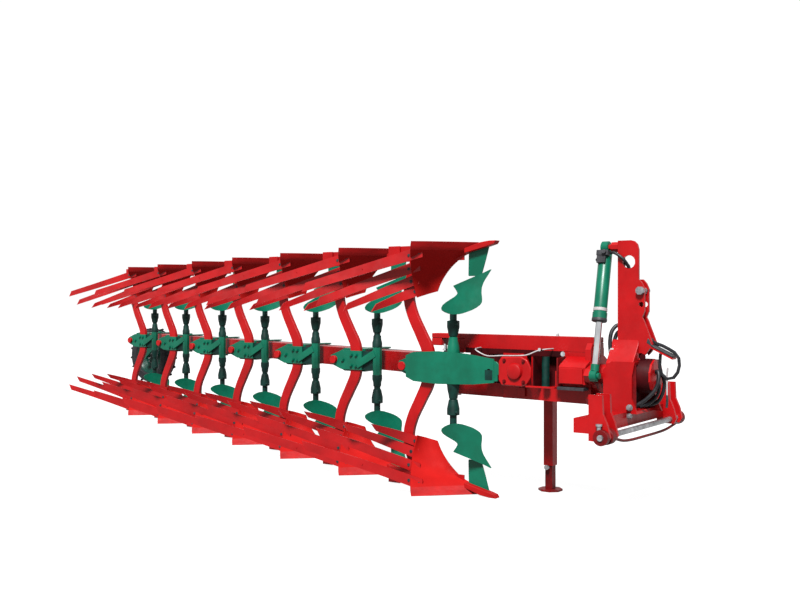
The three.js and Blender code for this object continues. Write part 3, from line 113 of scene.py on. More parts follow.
def surface(name, low, high, rough, metallic=0, shine=0.25, scale=6, bump=0.02, grain=220, stretch=None):
    """Two tones of one colour mixed by a soft noise, with a fine grain in the relief."""
    material = bpy.data.materials.new(name)
    material.use_nodes = True
    nodes, links = material.node_tree.nodes, material.node_tree.links
    shader = nodes["Principled BSDF"]
    place = nodes.new("ShaderNodeTexCoord").outputs["Object"]
    tone = noise(nodes, links, place, scale, 5.0, 0.6, stretch)
    gloss = noise(nodes, links, place, scale * GLOSS_SCALE, 6.0, 0.6, stretch)
    relief = nodes.new("ShaderNodeBump")
    relief.inputs["Strength"].default_value = bump
    relief.inputs["Distance"].default_value = RELIEF_DEPTH
    links.new(noise(nodes, links, place, grain, 3.0), relief.inputs["Height"])
    links.new(ramp(nodes, links, tone, TONE_STOPS, low, high), shader.inputs["Base Color"])
    links.new(ramp(nodes, links, gloss, GLOSS_STOPS, *map(grey, rough)), shader.inputs["Roughness"])
    links.new(relief.outputs["Normal"], shader.inputs["Normal"])
    shader.inputs["Metallic"].default_value = metallic
    shader.inputs["Specular IOR Level"].default_value = shine
    return material


MATERIALS = {
    "red": surface("red_paint", (0.112, 0.0006, 0.001), (0.142, 0.0009, 0.0014), (0.32, 0.46), shine=0.12,
                   bump=0.03),
    "red_slat": surface("red_slat", (0.1, 0.0006, 0.001), (0.14, 0.0009, 0.0014), (0.3, 0.45), shine=0.17,
                        bump=0.03, scale=4.0),
    # Painted sheen: the mouldboard and share paints carry more green and blue than the red paint, a pinkish
    # lift that stands in for the reflection their low shine leaves out
    "red_chest": surface("red_chest", (0.118, 0.0018, 0.0016), (0.14, 0.0024, 0.002), (0.6, 0.8),
                         shine=0.03, bump=0.03),
    "red_share_sheen": surface("red_share", (0.1, 0.0014, 0.0016), (0.14, 0.002, 0.002), (0.5, 0.7), shine=0.06,
                        scale=11.0, bump=0.06, stretch=(0.4, 1.0, 1.6)),
    # Painted shade: a darker copy of the red paint, for red parts that lie in shade
    "red_deep_shade": surface("red_painted_shade", (0.03, 0.0002, 0.0005), (0.06, 0.0003, 0.0008), (0.4, 0.6), shine=0.1,
                        scale=14.0, bump=0.15, grain=90.0),
    # Painted shade: a near-black copy of the red paint, for sheets put in hollows and behind parts
    "red_dark_shade": surface("red_shade", (0.008, 0.0002, 0.0005), (0.02, 0.0003, 0.0008), (0.5, 0.7),
                        shine=0.05, scale=9.0, bump=0.1),
    "green": surface("green_paint", (0.0, 0.033, 0.018), (0.0, 0.046, 0.026), (0.28, 0.4), shine=0.15,
                     bump=0.03),
    # Painted shade: a darker copy of the green paint, for green parts that lie in shade
    "green_painted_shade": surface("green_painted_shade", (0.0, 0.005, 0.004), (0.0, 0.012, 0.009), (0.4, 0.6), shine=0.12,
                          scale=14.0, bump=0.15, grain=90.0),
    "steel": surface("bare_steel", (0.12, 0.12, 0.125), (0.26, 0.26, 0.27), (0.3, 0.5), metallic=0.85,
                     scale=20.0),
    "chrome": surface("chrome", (0.45, 0.46, 0.48), (0.6, 0.61, 0.62), (0.08, 0.16), metallic=1.0,
                      scale=9.0, bump=0.0),
    "rubber": surface("rubber", (0.003, 0.003, 0.004), (0.008, 0.008, 0.009), (0.6, 0.85), shine=0.15,
                      scale=12.0, bump=0.3, grain=300.0),
    "hose": surface("hose_rubber", (0.002, 0.002, 0.003), (0.006, 0.006, 0.007), (0.4, 0.6), shine=0.15,
                    scale=30.0, bump=0.1),
    "dark": surface("dark_iron", (0.005, 0.005, 0.006), (0.014, 0.014, 0.016), (0.45, 0.65), shine=0.15,
                    scale=25.0, bump=0.2),
    "white": surface("white_plastic", (0.11, 0.1, 0.1), (0.16, 0.15, 0.15), (0.35, 0.5), scale=18.0),
    "rim": surface("rim_paint", (0.0, 0.013, 0.009), (0.0, 0.026, 0.017), (0.3, 0.5), shine=0.12),
    "floor": surface("floor", grey(0.05), grey(0.06), (0.8, 0.9), shine=0.0, scale=0.7, bump=0.0),
}
floor_shader = MATERIALS["floor"].node_tree.nodes["Principled BSDF"]
floor_shader.inputs["Emission Color"].default_value = (1, 1, 1, 1)
floor_shader.inputs["Emission Strength"].default_value = FLOOR_GLOW


# Mesh makers: each returns a new bmesh in millimetres, or adds to the one that it is given

# Turn a shape made along Z to another axis
TURNS = {
    "x": Matrix.Rotation(math.pi / 2, 4, "Y"),
    "y": Matrix.Rotation(-math.pi / 2, 4, "X"),
    "z": UNTURNED,
}
# Put two places across an axis and one along it in X, Y, Z order
FLAT = {
    "x": lambda a, b, c: Vector((c, a, b)),
    "y": lambda a, b, c: Vector((a, c, b)),
    "z": lambda a, b, c: Vector((a, b, c)),
}


def new_verts(made):
    return [item for item in made["geom"] if isinstance(item, bmesh.types.BMVert)]


def new_edges(made):
    return [item for item in made["geom"] if isinstance(item, bmesh.types.BMEdge)]


def close_ends(bm):
    bmesh.ops.holes_fill(bm, edges=[edge for edge in bm.edges if edge.is_boundary])
    bmesh.ops.recalc_face_normals(bm, faces=bm.faces)


def sheet_mesh(rows, wall):
    """A sheet through rows of points. Its wall, a function of up and back, lies behind it."""
    height, width = len(rows), len(rows[0])
    bm = bmesh.new()
    grid = {"x_segments": width - 1, "y_segments": height - 1, "size": 1}
    front, back = (bmesh.ops.create_grid(bm, **grid)["verts"] for _ in range(2))
    for i, row in enumerate(rows):
        for j, place in enumerate(row):
            up = rows[min(i + 1, height - 1)][j] - rows[max(i - 1, 0)][j]
            side = row[min(j + 1, width - 1)] - row[max(j - 1, 0)]
            behind = side.cross(up).normalized() * wall(i / (height - 1), j / (width - 1))
            front[i * width + j].co = place
            back[i * width + j].co = place + behind
    bmesh.ops.bridge_loops(bm, edges=[edge for edge in bm.edges if edge.is_boundary])
    bmesh.ops.recalc_face_normals(bm, faces=bm.faces)
    return bm


def prism(axis, outline, start, end, bm=None):
    """Extrudes a flat outline along an axis."""
    bm = bm or bmesh.new()
    place = FLAT[axis]
    face = bm.faces.new([bm.verts.new(place(a, b, start)) for a, b in outline])
    raised = new_verts(bmesh.ops.extrude_face_region(bm, geom=[face]))
    bmesh.ops.translate(bm, verts=raised, vec=place(0, 0, end - start))
    bmesh.ops.recalc_face_normals(bm, faces=bm.faces)
    return bm


def box(x0, x1, y0, y1, z0, z1, bm=None, turn=UNTURNED):
    bm = bm or bmesh.new()
    middle = Matrix.Translation(((x0 + x1) / 2, (y0 + y1) / 2, (z0 + z1) / 2))
    size = Matrix.Diagonal((x1 - x0, y1 - y0, z1 - z0, 1))
    bmesh.ops.create_cube(bm, size=1, matrix=turn @ middle @ size)
    return bm


def disc(axis, a, b, radius, start, end, bm=None, sides=32, turn=UNTURNED):
    bm = bm or bmesh.new()
    middle = Matrix.Translation(FLAT[axis](a, b, (start + end) / 2))
    bmesh.ops.create_cone(
        bm, cap_ends=True, segments=sides, radius1=radius, radius2=radius, depth=abs(end - start),
        matrix=turn @ middle @ TURNS[axis],
    )
    return bm


def bolt(axis, a, b, radius, face, height, bm):
    """Washer, hexagon head and end of the thread. A negative height points back along the axis."""
    sign = math.copysign(1, height)
    washer, head = face + sign * radius * 0.25, face + height
    disc(axis, a, b, radius * 1.25, face, washer, bm, 20)
    disc(axis, a, b, radius, washer, head, bm, 6)
    disc(axis, a, b, radius * 0.62, head, head + sign * radius * 0.3, bm, 14)


def lathe(axis, a, b, profile, bm=None, sides=48, closed=False):
    """Spins a profile of (radius, place along the axis). An open one gets flat ends."""
    bm = bm or bmesh.new()
    place = FLAT[axis]
    corners = [bm.verts.new(place(a + radius, b, along)) for radius, along in profile]
    ends = corners[1:] + corners[:1] if closed else corners[1:]
    edges = [bm.edges.new(pair) for pair in zip(corners, ends)]
    bmesh.ops.spin(
        bm, geom=corners + edges, cent=place(a, b, 0), axis=place(0, 0, 1), angle=2 * math.pi, steps=sides,
        use_merge=True,
    )
    close_ends(bm)
    return bm


def places(*route):
    return [Vector(place) for place in route]


def smooth_path(points, steps):
    """Centripetal spline through the points."""
    last = len(points) - 1
    made = []
    for k in range(steps + 1):
        t = k / steps * last
        i = min(int(t), last - 1)
        made.append(spline_point(points, i, t - i))
    return made


def spline_point(points, i, weight):
    last = len(points) - 1
    p1, p2 = points[i], points[i + 1]
    p0 = points[i - 1] if i > 0 else p1 * 2 - p2
    p3 = points[i + 2] if i + 2 <= last else p2 * 2 - p1
    d0, d1, d2 = (max((b - a).length ** 0.5, 1e-4) for a, b in ((p0, p1), (p1, p2), (p2, p3)))
    m1 = ((p1 - p0) / d0 - (p2 - p0) / (d0 + d1) + (p2 - p1) / d1) * d1
    m2 = ((p2 - p1) / d1 - (p3 - p1) / (d1 + d2) + (p3 - p2) / d2) * d1
    c2 = p1 * -3 + p2 * 3 - m1 * 2 - m2
    c3 = p1 * 2 - p2 * 2 + m1 + m2
    return p1 + m1 * weight + c2 * weight ** 2 + c3 * weight ** 3


def curve_at(points, share):
    """Place on the spline at a share of its way."""
    last = len(points) - 1
    t = min(max(share, 0), 1) * last
    i = min(int(t), last - 1)
    return spline_point(points, i, t - i)


def tube(points, radius, steps=40, sides=14, bm=None):
    """Extrudes a circle step by step along a smooth route, or along the bare points with no steps."""
    bm = bm or bmesh.new()
    route = smooth_path(points, steps) if steps else points
    last = len(route) - 1
    side = (route[1] - route[0]).orthogonal().normalized()
    ring = before = None
    for i, at in enumerate(route):
        ahead = (route[min(i + 1, last)] - route[max(i - 1, 0)]).normalized()
        side = (side - ahead * side.dot(ahead)).normalized()
        placed = Matrix((side, ahead.cross(side), ahead)).transposed().to_4x4()
        placed.translation = at
        if ring:
            made = bmesh.ops.extrude_edge_only(bm, edges=ring)
            bmesh.ops.transform(bm, matrix=placed @ before.inverted(), verts=new_verts(made))
            ring = new_edges(made)
        else:
            circle = bmesh.ops.create_circle(bm, segments=sides, radius=radius, matrix=placed)
            ring = list({edge for vert in circle["verts"] for edge in vert.link_edges})
        before = placed
    close_ends(bm)
    return bm


def ribbon(centre, widths, samples):
    """Closed outline of a strip along a smooth line, with widths spread evenly over its way."""
    line = smooth_path([Vector((a, b, 0)) for a, b in centre], samples)
    left, right = [], []
    for i, at in enumerate(line):
        ahead = (line[min(i + 1, samples)] - line[max(i - 1, 0)]).normalized()
        place = i / samples * (len(widths) - 1)
        low = min(int(place), len(widths) - 2)
        half = (widths[low] + (widths[low + 1] - widths[low]) * (place - low)) / 2
        left.append((at.x - ahead.y * half, at.y + ahead.x * half))
        right.insert(0, (at.x + ahead.y * half, at.y - ahead.x * half))
    return right + left


SHARP_EDGE = math.radians(40)
BEVELLED_EDGE = math.radians(32)


def emit(name, bm, material, body, at=(0, 0, 0), flip=False, bevel=0, replaces=()):
    """Puts a copy of a bmesh into the scene as a piece that rides on a body."""
    copy = bm.copy()
    copy.transform(TO_ROW @ Matrix.Translation(at) @ (MIRROR if flip else UNTURNED))
    if flip:
        bmesh.ops.reverse_faces(copy, faces=copy.faces)
    for face in copy.faces:
        face.smooth = True
    if not bevel:
        for edge in copy.edges:
            edge.smooth = len(edge.link_faces) != 2 or edge.calc_face_angle(0) < SHARP_EDGE
    mesh = bpy.data.meshes.new(name)
    copy.to_mesh(mesh)
    copy.free()
    piece = bpy.data.objects.new(name, mesh)
    bpy.context.scene.collection.objects.link(piece)
    mesh.materials.append(MATERIALS[material])
    if bevel:
        add_bevel(piece, bevel)
    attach(piece, body)
    if replaces:
        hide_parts(*replaces)


def add_bevel(piece, width):
    modifier = piece.modifiers.new("bevel", "BEVEL")
    modifier.width = width / 1000
    modifier.segments = 2
    modifier.limit_method = "ANGLE"
    modifier.angle_limit = BEVELLED_EDGE
    modifier.harden_normals = True
    modifier.use_clamp_overlap = True


def dress(node, material, bevel):
    """A CAD node keeps its shape, and gets a material and softened edges."""
    piece = frame["nodes"][node]
    piece.data.materials.clear()
    piece.data.materials.append(MATERIALS[material])
    if bevel:
        add_bevel(piece, bevel)


# Camera, floor and light

CAMERA_TURN = math.radians(36)
CAMERA_LENS = 42.75
CAMERA_SENSOR = 36
CAMERA_SHIFT = 3 / 800
CAMERA_FROM_TIP = (3.413, -5.884)  # from the first lower point's tip, in metres
CAMERA_HEIGHT = 1.39  # above the row frame's floor, in metres
FLOOR_SIZE = 60
FLOOR_DROP = 0.002
STUDIO_GLOW = 1.03
KEY_ENERGY = 18.5
KEY_SPREAD = math.radians(14)
KEY_DIRECTION = (-0.22, 0.62, -0.76)


def make_camera():
    tip = TO_ROW @ point_tip(PIVOTS[0])
    camera = bpy.data.objects.new("camera", bpy.data.cameras.new("camera"))
    camera.data.lens = CAMERA_LENS
    camera.data.sensor_width = CAMERA_SENSOR
    camera.data.shift_y = CAMERA_SHIFT
    camera.location = (tip.x + CAMERA_FROM_TIP[0], tip.y + CAMERA_FROM_TIP[1], CAMERA_HEIGHT)
    camera.rotation_euler = (math.pi / 2, 0, CAMERA_TURN)
    bpy.context.scene.collection.objects.link(camera)
    bpy.context.scene.camera = camera


def make_floor():
    bm = bmesh.new()
    bmesh.ops.create_grid(bm, x_segments=1, y_segments=1, size=FLOOR_SIZE)
    mesh = bpy.data.meshes.new("floor")
    bm.to_mesh(mesh)
    bm.free()
    floor = bpy.data.objects.new("floor", mesh)
    floor.location.z = -FLOOR_DROP
    mesh.materials.append(MATERIALS["floor"])
    bpy.context.scene.collection.objects.link(floor)


def make_light():
    world = bpy.data.worlds.new("studio")
    world.use_nodes = True
    background = world.node_tree.nodes["Background"]
    background.inputs["Color"].default_value = (1, 1, 1, 1)
    background.inputs["Strength"].default_value = STUDIO_GLOW
    bpy.context.scene.world = world
    bpy.context.scene.view_settings.view_transform = "Standard"
    sun = bpy.data.objects.new("key", bpy.data.lights.new("key", "SUN"))
    sun.data.energy = KEY_ENERGY
    sun.data.angle = KEY_SPREAD
    sun.rotation_euler = Vector(KEY_DIRECTION).to_track_quat("-Z", "Y").to_euler()
    bpy.context.scene.collection.objects.link(sun)


# Plough body. Its own frame starts at the tip of the point, on the share plane.

def in_body(x, y, z):
    """A place given in shares of the body's length, width and height."""
    return Vector((-x * BODY[0], -y * BODY[1], z * BODY[2]))


# Front and rear edge of the mouldboard, from the share up
SHIN = [in_body(*p) for p in (
    (0.13, LAND, 0.012), (0.162, LAND, 0.13), (0.24, LAND, 0.228),
    (0.33, LAND, 0.42), (0.382, LAND, 0.6), (0.404, LAND, 0.72),
)]
REAR = [in_body(*p) for p in (
    (0.409, 0.508, 0), (0.422, 0.48, 0.12), (0.47, 0.32, 0.32),
    (0.49, 0.22, 0.51), (0.49, 0.17, 0.66), (0.482, 0.14, 0.81),
)]
HOLLOW = Vector((-math.sqrt(0.5), math.sqrt(0.5), 0))  # mouldboard and slats sag this way
CHEST_STEPS = 12
CHEST_FOOT = 0.13
CHEST_HOLLOW = 34
CHEST_WALL = 10
SHARE_TOP = 0.2
SHARE_PROUD = 4
CUTTING_EDGE = 3
SHARE_GROWTH = 10  # what its wall gains in the lower two fifths
SHARE_GROWTH_END = 0.4
POINT_HALF = 31
SLAT_STEPS = (4, 16)  # across and along
SLAT_ROOT = 0.8  # where it starts, as a share of the mouldboard's way back
SLAT_WIDTH = 84
SLAT_TAPER = 0.12
SLAT_HOLLOW = 46
SLAT_WALL = 9
# Foot on the mouldboard's height, place of the tail, and lean at the tail
SLATS = (
    (0.22, (1, 0.968, 0.66), (0.3, 0.25, 1)),
    (0.43, (0.925, 0.893, 0.87), (0.3, 0.35, 0.95)),
    (0.64, (0.766, 0.779, 0.955), (0.25, 0.5, 0.85)),
    (0.86, (0.614, 0.64, 0.965), (0.1, 0.65, 0.75)),
)
SLAT_BOLTS = (0.03, 0.11)  # shares of the slat's way
LANDSIDE_RIGHT = -LAND * BODY[1] - 14
LANDSIDE_LEFT = LANDSIDE_RIGHT + 13.7
FROG_LEFT = LANDSIDE_RIGHT + 7
FROG = (
    (0.33, 0.06), (0.33, 0.16), (0.39, 0.33), (0.45, 0.5),
    (0.52, 0.68), (0.59, 0.62), (0.57, 0.36), (0.55, 0.06),
)


def bow(share):
    """Rises from 0 at both ends of the way to 1 in its middle."""
    return 4 * share * (1 - share)


def on_mouldboard(up, back):
    at = curve_at(SHIN, up).lerp(curve_at(REAR, up), back)
    return at + HOLLOW * CHEST_HOLLOW * bow(back) * min(1, 2 * up)


def mouldboard_rows(foot, top, steps, proud=0):
    """Rows of points from one height of the mouldboard to another, some way in front of it."""
    heights = [foot + (top - foot) * step / steps for step in range(steps + 1)]
    ways = [step / CHEST_STEPS for step in range(CHEST_STEPS + 1)]
    return [[on_mouldboard(up, back) - HOLLOW * proud for back in ways] for up in heights]


def make_share():
    rows = mouldboard_rows(0, SHARE_TOP, 4, SHARE_PROUD)
    share = sheet_mesh(rows, lambda up, back: CUTTING_EDGE + SHARE_GROWTH * min(1, up / SHARE_GROWTH_END))
    for corner in share.verts:
        corner.co.z = max(corner.co.z, 0)
    return share


def slat_place(foot, tail, lean, share):
    """Middle of the slat at a share of its way, and the way that its width points there."""
    root = on_mouldboard(foot, SLAT_ROOT) + HOLLOW * CHEST_WALL * 0.6
    at = root.lerp(in_body(*tail), share) + HOLLOW * SLAT_HOLLOW * bow(share)
    leaning = Vector((-lean[0], -lean[1], lean[2])).normalized()
    return at, Vector((0, 0, 1)).lerp(leaning, share).normalized()


def make_slat(foot, tail, lean):
    across, along = SLAT_STEPS
    rows = [[] for _ in range(across + 1)]
    for step in range(along + 1):
        share = step / along
        at, up = slat_place(foot, tail, lean, share)
        width = SLAT_WIDTH * (1 - SLAT_TAPER * share)
        for row, line in enumerate(rows):
            line.append(at + up * width * (row / across - 0.5))
    return sheet_mesh(rows, lambda up, back: SLAT_WALL)


def make_frog():
    side = [(-x * BODY[0], z * BODY[2]) for x, z in FROG]
    return prism("y", side, -LEG_INSET + LEG_WALL / 2 + GAP, FROG_LEFT)


def make_fin():
    side = [
        (-252, 30), (-80, 30), (-92, 74), (-112, 140), (-136, 215), (-147, 247), (-153, 250), (-252, 250),
        (-257, 245), (-255, 140),
    ]
    return prism("y", side, FROG_LEFT, FROG_LEFT + 8)


def make_stay():
    """Bar from the landside to the middle of the lowest slat."""
    on_slat, _ = slat_place(*SLATS[0], 0.5)
    return tube([in_body(0.66, LAND / 2, 0.14), on_slat + HOLLOW * 5], 13, 0, 12)


def make_body_bolts():
    bolts = bmesh.new()
    for x, z in ((-640, 40), (-640, 100), (-760, 40), (-400, 40)):
        bolt("y", x, z, 12, LANDSIDE_LEFT, 10, bolts)
    across = Matrix.Rotation(math.radians(-45), 4, "Z")
    for slat in SLATS:
        for share in SLAT_BOLTS:
            at, _ = slat_place(*slat, share)
            disc("x", 0, 0, 11, -3, 3, bolts, 18, Matrix.Translation(at - HOLLOW * 1.5) @ across)
    return bolts


def body_pieces():
    """Name, bmesh, material and bevel of each piece of a body."""
    chest = sheet_mesh(mouldboard_rows(CHEST_FOOT, 1, 16), lambda up, back: CHEST_WALL)
    point = [(0, 0), (-16, 24), (-60, 36), (-265, 84), (-265, 48), (-132, 9), (-60, 0)]
    pieces = [
        ("mouldboard", chest, "red_chest", 0),
        ("share", make_share(), "red_share_sheen", 0),
        ("point", prism("y", point, -POINT_HALF, POINT_HALF), "red_share_sheen", 4),
        ("landside", box(-971, -291, LANDSIDE_RIGHT, LANDSIDE_LEFT, 12, 132), "red", 2),
        ("heel", box(-971, -861, LANDSIDE_RIGHT - 12, LANDSIDE_RIGHT, 10, 100), "red", 3),
        ("frog", make_frog(), "red", 3),
        ("fin", make_fin(), "green", 1.5),
        ("stay", make_stay(), "red", 0),
        ("body_bolts", make_body_bolts(), "dark", 0),
    ]
    pieces += [(f"slat_{k}", make_slat(*slat), "red_slat", 0) for k, slat in enumerate(SLATS, 1)]
    return pieces


def make_bodies():
    for name, bm, material, bevel in body_pieces():
        for i, pivot in enumerate(PIVOTS, 1):
            for side, flip in SIDES:
                stands = (f"{side}_body_{i}",) if name == "mouldboard" else ()
                tip = point_tip(pivot, flip)
                emit(f"{side}_{name}_{i}", bm, material, f"station_{i}", tip, flip, bevel, stands)


# Legs, skimmers and brackets, in the frame of the station's pivot pin

LEG_REACH = HALF_SPAN - 150
LEG_SWEEP = 172
LEG_WIDTH = 92
LEG_LEFT = -LEG_OFFSET + LEG_WALL / 2
LEG_RIGHT = LEG_LEFT - LEG_WALL
# Way back and down of the leg's middle line, as shares of its sweep and reach
LEG_LINE = ((0, 0), (0, 0.15), (0.35, 0.31), (0.8, 0.5), (1, 0.66), (0.9, 0.83), (0.55, 1))
LEG_WIDTHS = (1.15, 1.1, 1, 0.95, 0.95, 1, 1.05)
CHEEK_RIGHT = LEG_RIGHT - GAP - 12  # the bracket's cheek is 12 mm thick
SKIMMER_LENGTH = 330
SKIMMER_HEIGHT = 335
SKIMMER_LIFT = 205  # from the share plane to the skimmer's tip
SKIMMER_HEADING = math.radians(42)
SKIMMER_TIP = point_tip(Vector((-65, 20, SKIMMER_LIFT)))
SKIMMER_AWAY = Vector((-math.cos(SKIMMER_HEADING), -math.sin(SKIMMER_HEADING), 0))
SKIMMER_BEHIND = Vector((-math.sin(SKIMMER_HEADING), math.cos(SKIMMER_HEADING), 0))
SKIMMER_HOLLOW = 30
SKIMMER_WALL = 8
# Height, front and rear edge of the skimmer's blade, as shares
BLADE = (
    (0, 0, 0.03), (0.06, 0.035, 0.15), (0.12, 0.07, 0.29), (0.2, 0.12, 0.48), (0.28, 0.165, 0.67),
    (0.35, 0.19, 0.83), (0.38, 0.2, 0.81), (0.44, 0.207, 0.765), (0.5, 0.21, 0.735), (0.53, 0.208, 0.745),
    (0.58, 0.203, 0.8), (0.64, 0.2, 0.9), (0.7, 0.205, 1.0), (0.76, 0.245, 1.075), (0.82, 0.325, 1.11),
    (0.87, 0.42, 1.1), (0.91, 0.53, 1.04), (0.945, 0.64, 0.95), (0.96, 0.72, 0.87),
)
BLADE_STEPS = 10
ARM_HALF = 21
ARM_SHORT = 11.4  # from the plane through the tip to the arm's end, on the blade's back
# Shares of the skimmer's height
ARM_FOOT, ARM_TOP = 0.66, 0.78
STEM_END = 0.64


def make_leg():
    centre = [(-back * LEG_SWEEP, -down * LEG_REACH) for back, down in LEG_LINE]
    strip = ribbon(centre, [share * LEG_WIDTH for share in LEG_WIDTHS], 36)
    return prism("y", [(x, min(z, -0.5)) for x, z in strip], LEG_RIGHT, LEG_LEFT)


def make_blade():
    rows = []
    for up, start, end in BLADE:
        line = []
        for step in range(BLADE_STEPS + 1):
            share = start + (end - start) * step / BLADE_STEPS
            along = SKIMMER_AWAY * share * SKIMMER_LENGTH
            inward = SKIMMER_BEHIND * SKIMMER_HOLLOW * (bow(share) - up * up)
            line.append(SKIMMER_TIP + Vector((0, 0, up * SKIMMER_HEIGHT)) + along + inward)
        rows.append(line)
    return sheet_mesh(rows, lambda up, back: SKIMMER_WALL)


def make_skimmer_arm():
    """Flat bar from the stem to the back of the blade."""
    stem = Vector((*STEM, 0))
    reach = (stem - SKIMMER_TIP).dot(SKIMMER_BEHIND) - ARM_SHORT
    corners = ((-ARM_HALF, 0), (-ARM_HALF, -reach), (ARM_HALF, -reach), (ARM_HALF, 0))
    outline = [stem + SKIMMER_AWAY * a + SKIMMER_BEHIND * b for a, b in corners]
    low, high = (SKIMMER_TIP.z + SKIMMER_HEIGHT * share for share in (ARM_FOOT, ARM_TOP))
    return prism("z", [(corner.x, corner.y) for corner in outline], low, high)


def make_collars():
    """Collar under the bracket, clamp under it, and the clamp's bolt."""
    collar = [(26.5, -112), (41, -114), (41, -150), (34, -172), (32, -206), (26.5, -208)]
    clamp = [(26.5, -228), (33, -232), (46, -296), (46, -342), (26.5, -346)]
    collars = lathe("z", *STEM, collar, sides=32)
    lathe("z", *STEM, clamp, collars, 32)
    return disc("x", -290, -320, 11, 256, 272, collars, 16)


def make_bracket_bolts():
    bolts = bmesh.new()
    for x, z in ((24, 44), (24, -44), (-28, 44), (-28, -44), (-118, 0)):
        bolt("y", x, z, 15, CHEEK_RIGHT, -14, bolts)
    return bolts


def make_stations():
    leg, blade, arm = make_leg(), make_blade(), make_skimmer_arm()
    collars, bolts = make_collars(), make_bracket_bolts()
    stem_end = SKIMMER_TIP.z + STEM_END * SKIMMER_HEIGHT
    stem = disc("z", *STEM, STEM_RADIUS, stem_end, -stem_end, None, 28)
    pin = disc("y", -210, 0, 33, CHEEK_RIGHT - 26, CHEEK_RIGHT + 4)
    web = box(84, 186, -281, -275, -76, 76)
    for i, pivot in enumerate(PIVOTS, 1):
        body = f"station_{i}"
        for side, flip in SIDES:
            stands = () if flip else (f"skimmers_{i}",)
            emit(f"{side}_leg_steel_{i}", leg, "red", body, pivot, flip, 4, (f"{side}_leg_{i}",))
            emit(f"{side}_skimmer_{i}", blade, "green", body, pivot, flip, 0, stands)
            # The skimmer's arm and collars take the darker green of painted shade
            emit(f"{side}_skimmer_arm_{i}", arm, "green_painted_shade", body, pivot, flip, 3)
            emit(f"{side}_collars_{i}", collars, "green_painted_shade", body, pivot, flip, 2)
        # The stem takes the darker green of painted shade
        emit(f"stem_{i}", stem, "green_painted_shade", body, pivot)
        emit(f"bracket_bolts_{i}", bolts, "green", body, pivot)
        if i > 1:
            # The bracket's web takes the darker green of painted shade
            emit(f"bracket_web_{i}", web, "green_painted_shade", body, pivot)
        emit(f"stone_pin_{i}", pin, "red", body, pivot, bevel=3)
        dress(f"bracket_{i}", "green", 3)


# Turnover cylinder, made hanging from its upper eye and then leant over

CYLINDER_TOP = 840  # from the crank's pin up to the mast's eye
CYLINDER_SIDE = 190  # from the mast's middle plane to the crank's pin
CYLINDER_LEAN = math.atan2(CYLINDER_SIDE, CYLINDER_TOP)
CYLINDER_SPAN = math.hypot(CYLINDER_SIDE, CYLINDER_TOP)
BARREL = "turnover_cylinder"
ROD = "turnover_rod"


def emit_leant(name, bm, material, body, **more):
    bm.transform(Matrix.Translation((0, 0, CYLINDER_TOP)) @ Matrix.Rotation(-CYLINDER_LEAN, 4, "X"))
    emit(name, bm, material, body, **more)


def make_barrel():
    barrel = lathe("z", 0, 0, [
        (10, -24), (38, -26), (44, -34), (44, -440), (48, -444), (48, -486), (42, -488), (23, -488),
        (23, -470),
    ])
    emit_leant("cylinder_barrel", barrel, "green", BARREL, replaces=(BARREL,))
    ring = lathe("z", 0, 0, [(44, -434), (46, -432), (46, -414), (44, -412)])
    emit_leant("barrel_ring", ring, "white", BARREL)
    gland = lathe("z", 0, 0, [
        (49, -482), (50, -484), (50, -500), (44, -504), (23, -504), (23, -489), (48, -488.5),
    ])
    emit_leant("barrel_gland", gland, "dark", BARREL)
    eye = lathe("x", 0, 0, [(20.8, -25), (38, -25), (42, -21), (42, 21), (38, 25), (20.8, 25)], closed=True)
    emit_leant("cylinder_eye", eye, "green", BARREL)
    port = box(-36, 24, -56, 8, -115, -66)
    bolt("x", -30, -90, 11, -36, -12, port)
    emit_leant("cylinder_port", port, "dark", BARREL, bevel=3)


def make_rod():
    rod = disc("z", 0, 0, 22, 34 - CYLINDER_SPAN, -345, None, 40)
    emit_leant("cylinder_rod", rod, "chrome", ROD, replaces=(ROD,))
    eye = lathe("x", 0, -CYLINDER_SPAN, [(1, -24), (34, -24), (38, -20), (38, 20), (34, 24), (1, 24)])
    disc("z", 0, 0, 28, 30 - CYLINDER_SPAN, 74 - CYLINDER_SPAN, eye)
    disc("x", 0, -CYLINDER_SPAN, 20, 24, 39, eye, 24)
    emit_leant("cylinder_rod_eye", eye, "green", ROD)


def make_port_block():
    block = box(-40, 40, -60, 6, -66, -30)
    disc("y", 18, -46, 15, -78, -60, block, 20)
    emit_leant("port_block", block, "dark", BARREL, bevel=3)


# Depth wheel, made round its own centre

WHEEL_CENTRE = PIVOTS[-1] + Vector((-520, 325, -230))
LUGS = 36
LUG_SLANT = math.radians(66)
# Radius and half width, from the inner bead to the tread's edge
TYRE_SIDE = ((235, 75), (252, 94), (300, 100), (336, 96), (349, 78))
TYRE_RADIUS = 352
NUTS = 6
NUT_CIRCLE = 92


def make_tyre():
    right = [(radius, -width) for radius, width in TYRE_SIDE]
    left = [(radius, width) for radius, width in reversed(TYRE_SIDE)]
    tyre = lathe("y", 0, 0, right + [(TYRE_RADIUS, 0)] + left, closed=True, sides=72)
    for k in range(LUGS):
        slant = LUG_SLANT if k % 2 else -LUG_SLANT
        turn = Matrix.Rotation(2 * math.pi * k / LUGS, 4, "Y") @ Matrix.Rotation(-slant, 4, "X")
        box(348, 366, -11, 11, 4, 98, tyre, turn)
    emit("tyre_rubber", tyre, "rubber", "wheel", WHEEL_CENTRE, replaces=("tyre",))


def make_wheel_disc():
    disc_side = [
        (31, -60), (57, -60), (57, -20), (150, -9), (190, -40), (217, -60), (226, -75), (234, -75),
        (234, 75), (226, 75), (217, 40), (190, -20), (150, 9), (57, 20), (57, 60), (31, 60),
    ]
    rim = lathe("y", 0, 0, disc_side, closed=True, sides=64)
    emit("wheel_disc", rim, "rim", "wheel", WHEEL_CENTRE, replaces=("wheel_rim",))


